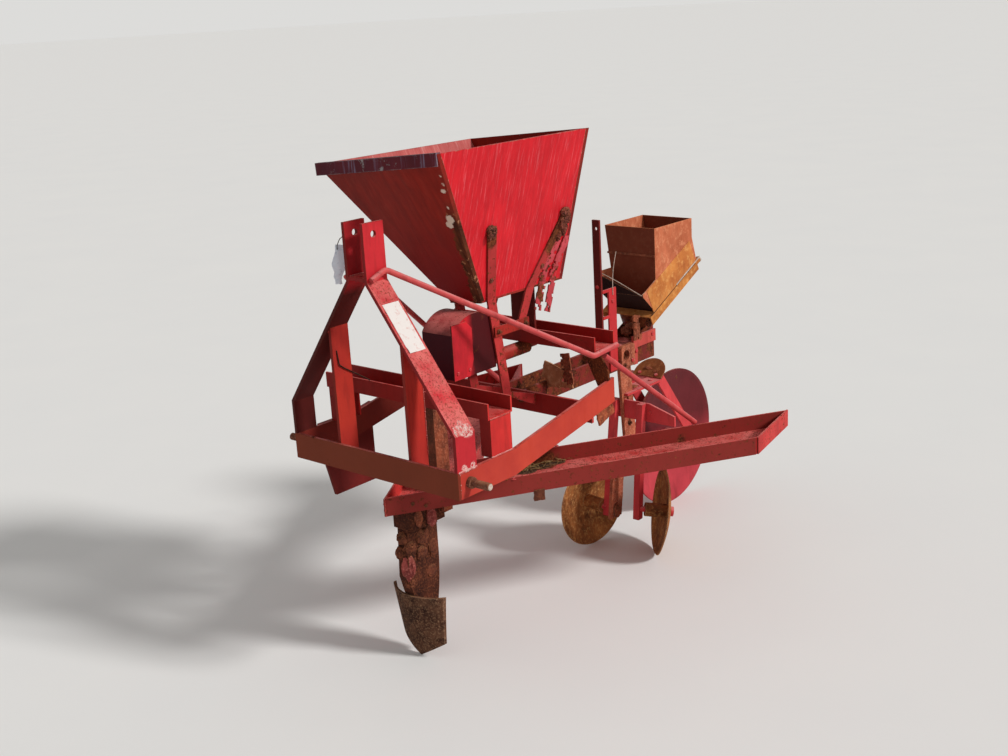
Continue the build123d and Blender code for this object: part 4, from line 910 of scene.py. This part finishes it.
# plates eaten by rust: centre, length's way, face's way, length, width, thickness, seed and share lost
ragged = {
    "strapStrips": (stripRed, (
        ((120, 676, 1116), stripWay, boardOut, 136, 34, 4, 21, 0.2),
        ((99, 650, 1012), stripFoot, rightward, 96, 32, 4, 22, 0.25),
        ((123, 722, 1122), stripWay, boardOut, 130, 30, 4, 23, 0.2),
        ((100, 697, 1006), stripFoot, rightward, 110, 28, 4, 24, 0.3))),
    "beamPlates": (beamOchre, (
        ((74, 722, 738), (0.3, 0, 1), front, 66, 78, 5, 31, 0.06),
        ((98, 724, 708), (1, 0, 0.1), front, 110, 18, 5, 33, 0.0))),
    "beamWedge": (wallRust, (((130, 726, 762), (-0.2, 0.1, 1), front, 100, 36, 5, 32, 0.1),)),
    "wellPlate": (wallRust, (((62, 1204, 780), (0, 0, 1), rightward, 84, 36, 4, 41, 0.2),)),
    "railGusset": (gussetRust, (((319, 664, 668), (0, 0.95, 0.3), rightward, 78, 44, 6, 51, 0.06),)),
    "armTab": (boltRust, (((246, 424, 468), (0.53, 0.848, 0), armOut, 34, 34, 5, 61, 0.2),)),
}
rowStep, fewestRows, sideShare, footShare, raggedRough = 9, 4, 0.6, 0.7, 2.2
for name, (finish, plates) in ragged.items():
    made = []
    for center, lengthWay, faceWay, length, width, thickness, seed, gnaw in plates:
        rows = max(fewestRows, int(length / rowStep))
        plate = thinSheet(spot(*center), lengthWay, faceWay, length, width, rows, thickness)
        lost = random.Random(seed)
        side, foot = width / 2 / metre * sideShare, -length / 2 / metre * footShare
        pickFaces(plate, lambda face: (abs(face.center.x) > side or face.center.y < foot)
                  and lost.random() < gnaw)
        bpy.ops.mesh.delete(type="FACE")
        closeEdit()
        roughen(plate, raggedRough, seed)
        applyAll(plate)
        made.append(plate)
    settle(joined(made), name, finish, smooth=brokenSmooth)


def block(center, size, turn=(0, 0, 0)):
    bpy.ops.mesh.primitive_cube_add(size=1, location=center, rotation=turn)
    made = bpy.context.object
    made.scale = size
    applyScale()
    return made


# red side plate on the feed box, its rear top and bottom corners cut off
feedPlate = {
    "center": (96.5, 294, 920), "size": (0.004, 0.084, 0.163),
    "cuts": (((98, 336, 978), (0, 1, 0.9)), ((98, 336, 885), (0, 1, -0.35))),
}
side = block(spot(*feedPlate["center"]), feedPlate["size"])
editAll()
for place, way in feedPlate["cuts"]:
    bpy.ops.mesh.bisect(plane_co=tuple(spot(*place)), plane_no=way, clear_outer=True, use_fill=True)
    bpy.ops.mesh.select_all(action="SELECT")
closeEdit()
settle(side, "feedSidePlate", feedPlateLitRed)

# folded seam across the seed bin's front
binSeam = {"center": (4, 1262.5, 1020), "size": (0.196, 0.004, 0.007), "fold": 0.0015}
seam = block(spot(*binSeam["center"]), binSeam["size"])
pushFaces(seam, looksUp, (0, binSeam["fold"], 0))
settle(seam, "binSeam", wallRust)

# raised band on the seed hopper's side, placed by its run up the slope and its depth below it
sideBand = {
    "slope": 25.5, "along": (0.9026, 0.4305), "front": (1182, 899), "x": 103, "run": (30, 324),
    "depth": (2, 92), "thickness": 0.003, "rim": 0.002, "rise": 0.001,
}
(runStart, runEnd), (bandTop, bandFoot) = sideBand["run"], sideBand["depth"]
middleRun, middleDepth = (runStart + runEnd) / 2, (bandTop + bandFoot) / 2
(slopeY, slopeZ), (frontY, frontZ) = sideBand["along"], sideBand["front"]
bandY = frontY + slopeY * middleRun + slopeZ * middleDepth
bandZ = frontZ + slopeZ * middleRun - slopeY * middleDepth
bandSize = (sideBand["thickness"], (runEnd - runStart) / metre, (bandFoot - bandTop) / metre)
band = block(spot(sideBand["x"], bandY, bandZ), bandSize, (radians(sideBand["slope"]), 0, 0))
pickFaces(band, lambda face: face.normal.x > facingLimit)
bpy.ops.mesh.inset(thickness=sideBand["rim"])
bpy.ops.transform.translate(value=(sideBand["rise"], 0, 0))
closeEdit()
settle(band, "hopperBand", bandOchre)

print("straw and grass in the arm")
strawHeap = {
    "sides": 5, "radius": 0.0009, "length": 0.014, "bends": ((0.0012, 0, 0.012), (0.0035, 0, 0.01)), "tip": 0.8,
    "taper": 0.7, "count": 90, "start": (104, 500, 490), "reach": (60, 180), "spread": 22, "height": 5,
    "tilt": (-0.1, 0.35), "sizes": (0.5, 1.1), "smooth": 60,
}
sides, radius, length = strawHeap["sides"], strawHeap["radius"], strawHeap["length"]
bpy.ops.mesh.primitive_cylinder_add(vertices=sides, radius=radius, depth=length)
straw = bpy.context.object
for bend in strawHeap["bends"]:
    pickFaces(straw, lambda face: face.normal.z > strawHeap["tip"])
    bpy.ops.mesh.extrude_region_move(TRANSFORM_OT_translate={"value": bend})
    bpy.ops.transform.resize(value=(strawHeap["taper"], strawHeap["taper"], 1), center_override=(0, 0, 0))
    closeEdit()
(startX, startY, startZ), (reachX, reachY) = strawHeap["start"], strawHeap["reach"]
places = []
for number in range(strawHeap["count"]):
    along = chance.uniform(0.0, 1.0)
    sideways = chance.uniform(-strawHeap["spread"], strawHeap["spread"])
    height = startZ + chance.uniform(0, strawHeap["height"])
    center = spot(startX + reachX * along + sideways, startY + reachY * along, height)
    facing = (chance.uniform(-1, 1), chance.uniform(-1, 1), chance.uniform(*strawHeap["tilt"]))
    twist, size = chance.uniform(0, 360), chance.uniform(*strawHeap["sizes"])
    places.append((center, facing, twist, (size, size, size)))
settle(copies(straw, places), "armStraw", strawPale, smooth=strawHeap["smooth"])

print("floor, lights and camera")
studio = {
    "floorHalf": 400.0, "floorColor": (0.80, 0.79, 0.77, 1.0), "floorPale": (236, 234, 230),
    "floorNoise": (1.5, 3), "floorRough": (30, 4, 0.6, 0, 1, 0.85, 0.95), "fill": 0.42,
    "backdrop": (0.72, 0.715, 0.70, 1),
    "sunFrom": (1.0, 0.34, 0.72), "sunPower": 2.5, "sunAngle": 10, "lens": 45.5, "sensor": 36, "farthest": 2000,
    "cameraPlace": (2.510, -3.1885, 1.848), "yaw": 41.43, "pitch": 16.10, "roll": 3.32,
}
bpy.ops.mesh.primitive_plane_add(size=2 * studio["floorHalf"], location=(0, 0, 0))
floor = bpy.context.object
floor.name = "studioFloor"
floorLook = Surface("studioFloorPale")
floorTone = floorLook.mix(floorLook.noise(*studio["floorNoise"]), studio["floorColor"], studio["floorPale"])
floorLook.finish(floorTone, floorLook.mask(studio["floorRough"]))
floor.data.materials.append(floorLook.material)

scene = bpy.context.scene
world = bpy.data.worlds.new("paleStudio")
scene.world = world
world.use_nodes = True
tree = world.node_tree
sky = tree.nodes["Background"]
rays = tree.nodes.new("ShaderNodeLightPath")
seen = tree.nodes.new("ShaderNodeBackground")
seen.inputs["Color"].default_value = studio["backdrop"]
choose = tree.nodes.new("ShaderNodeMixShader")
sky.inputs["Color"].default_value = (1, 1, 1, 1)
sky.inputs["Strength"].default_value = studio["fill"]
link = tree.links.new
link(rays.outputs["Is Camera Ray"], choose.inputs["Fac"])
link(sky.outputs["Background"], choose.inputs[1])
link(seen.outputs["Background"], choose.inputs[2])
link(choose.outputs["Shader"], tree.nodes["World Output"].inputs["Surface"])

sunData = bpy.data.lights.new("keyLight", "SUN")
sunData.energy = studio["sunPower"]
sunData.angle = radians(studio["sunAngle"])
sun = bpy.data.objects.new("keyLight", sunData)
sun.rotation_mode = "QUATERNION"
sun.rotation_quaternion = Vector(studio["sunFrom"]).to_track_quat("Z", "Y")
scene.collection.objects.link(sun)

yaw, pitch, roll = (radians(studio[key]) for key in ("yaw", "pitch", "roll"))
forward = Vector((-sin(yaw) * cos(pitch), cos(yaw) * cos(pitch), -sin(pitch)))
level = Vector((cos(yaw), sin(yaw), 0))
down = forward.cross(level)
right = level * cos(roll) + down * sin(roll)
down = down * cos(roll) - level * sin(roll)
cameraData = bpy.data.cameras.new("viewCamera")
cameraData.lens = studio["lens"]
cameraData.sensor_width = studio["sensor"]
cameraData.clip_end = studio["farthest"]
camera = bpy.data.objects.new("viewCamera", cameraData)
turn = Matrix((right, -down, -forward)).transposed()
camera.matrix_world = Matrix.Translation(studio["cameraPlace"]) @ turn.to_4x4()
scene.collection.objects.link(camera)
scene.camera = camera
scene.view_settings.view_transform = "Standard"

print("done")
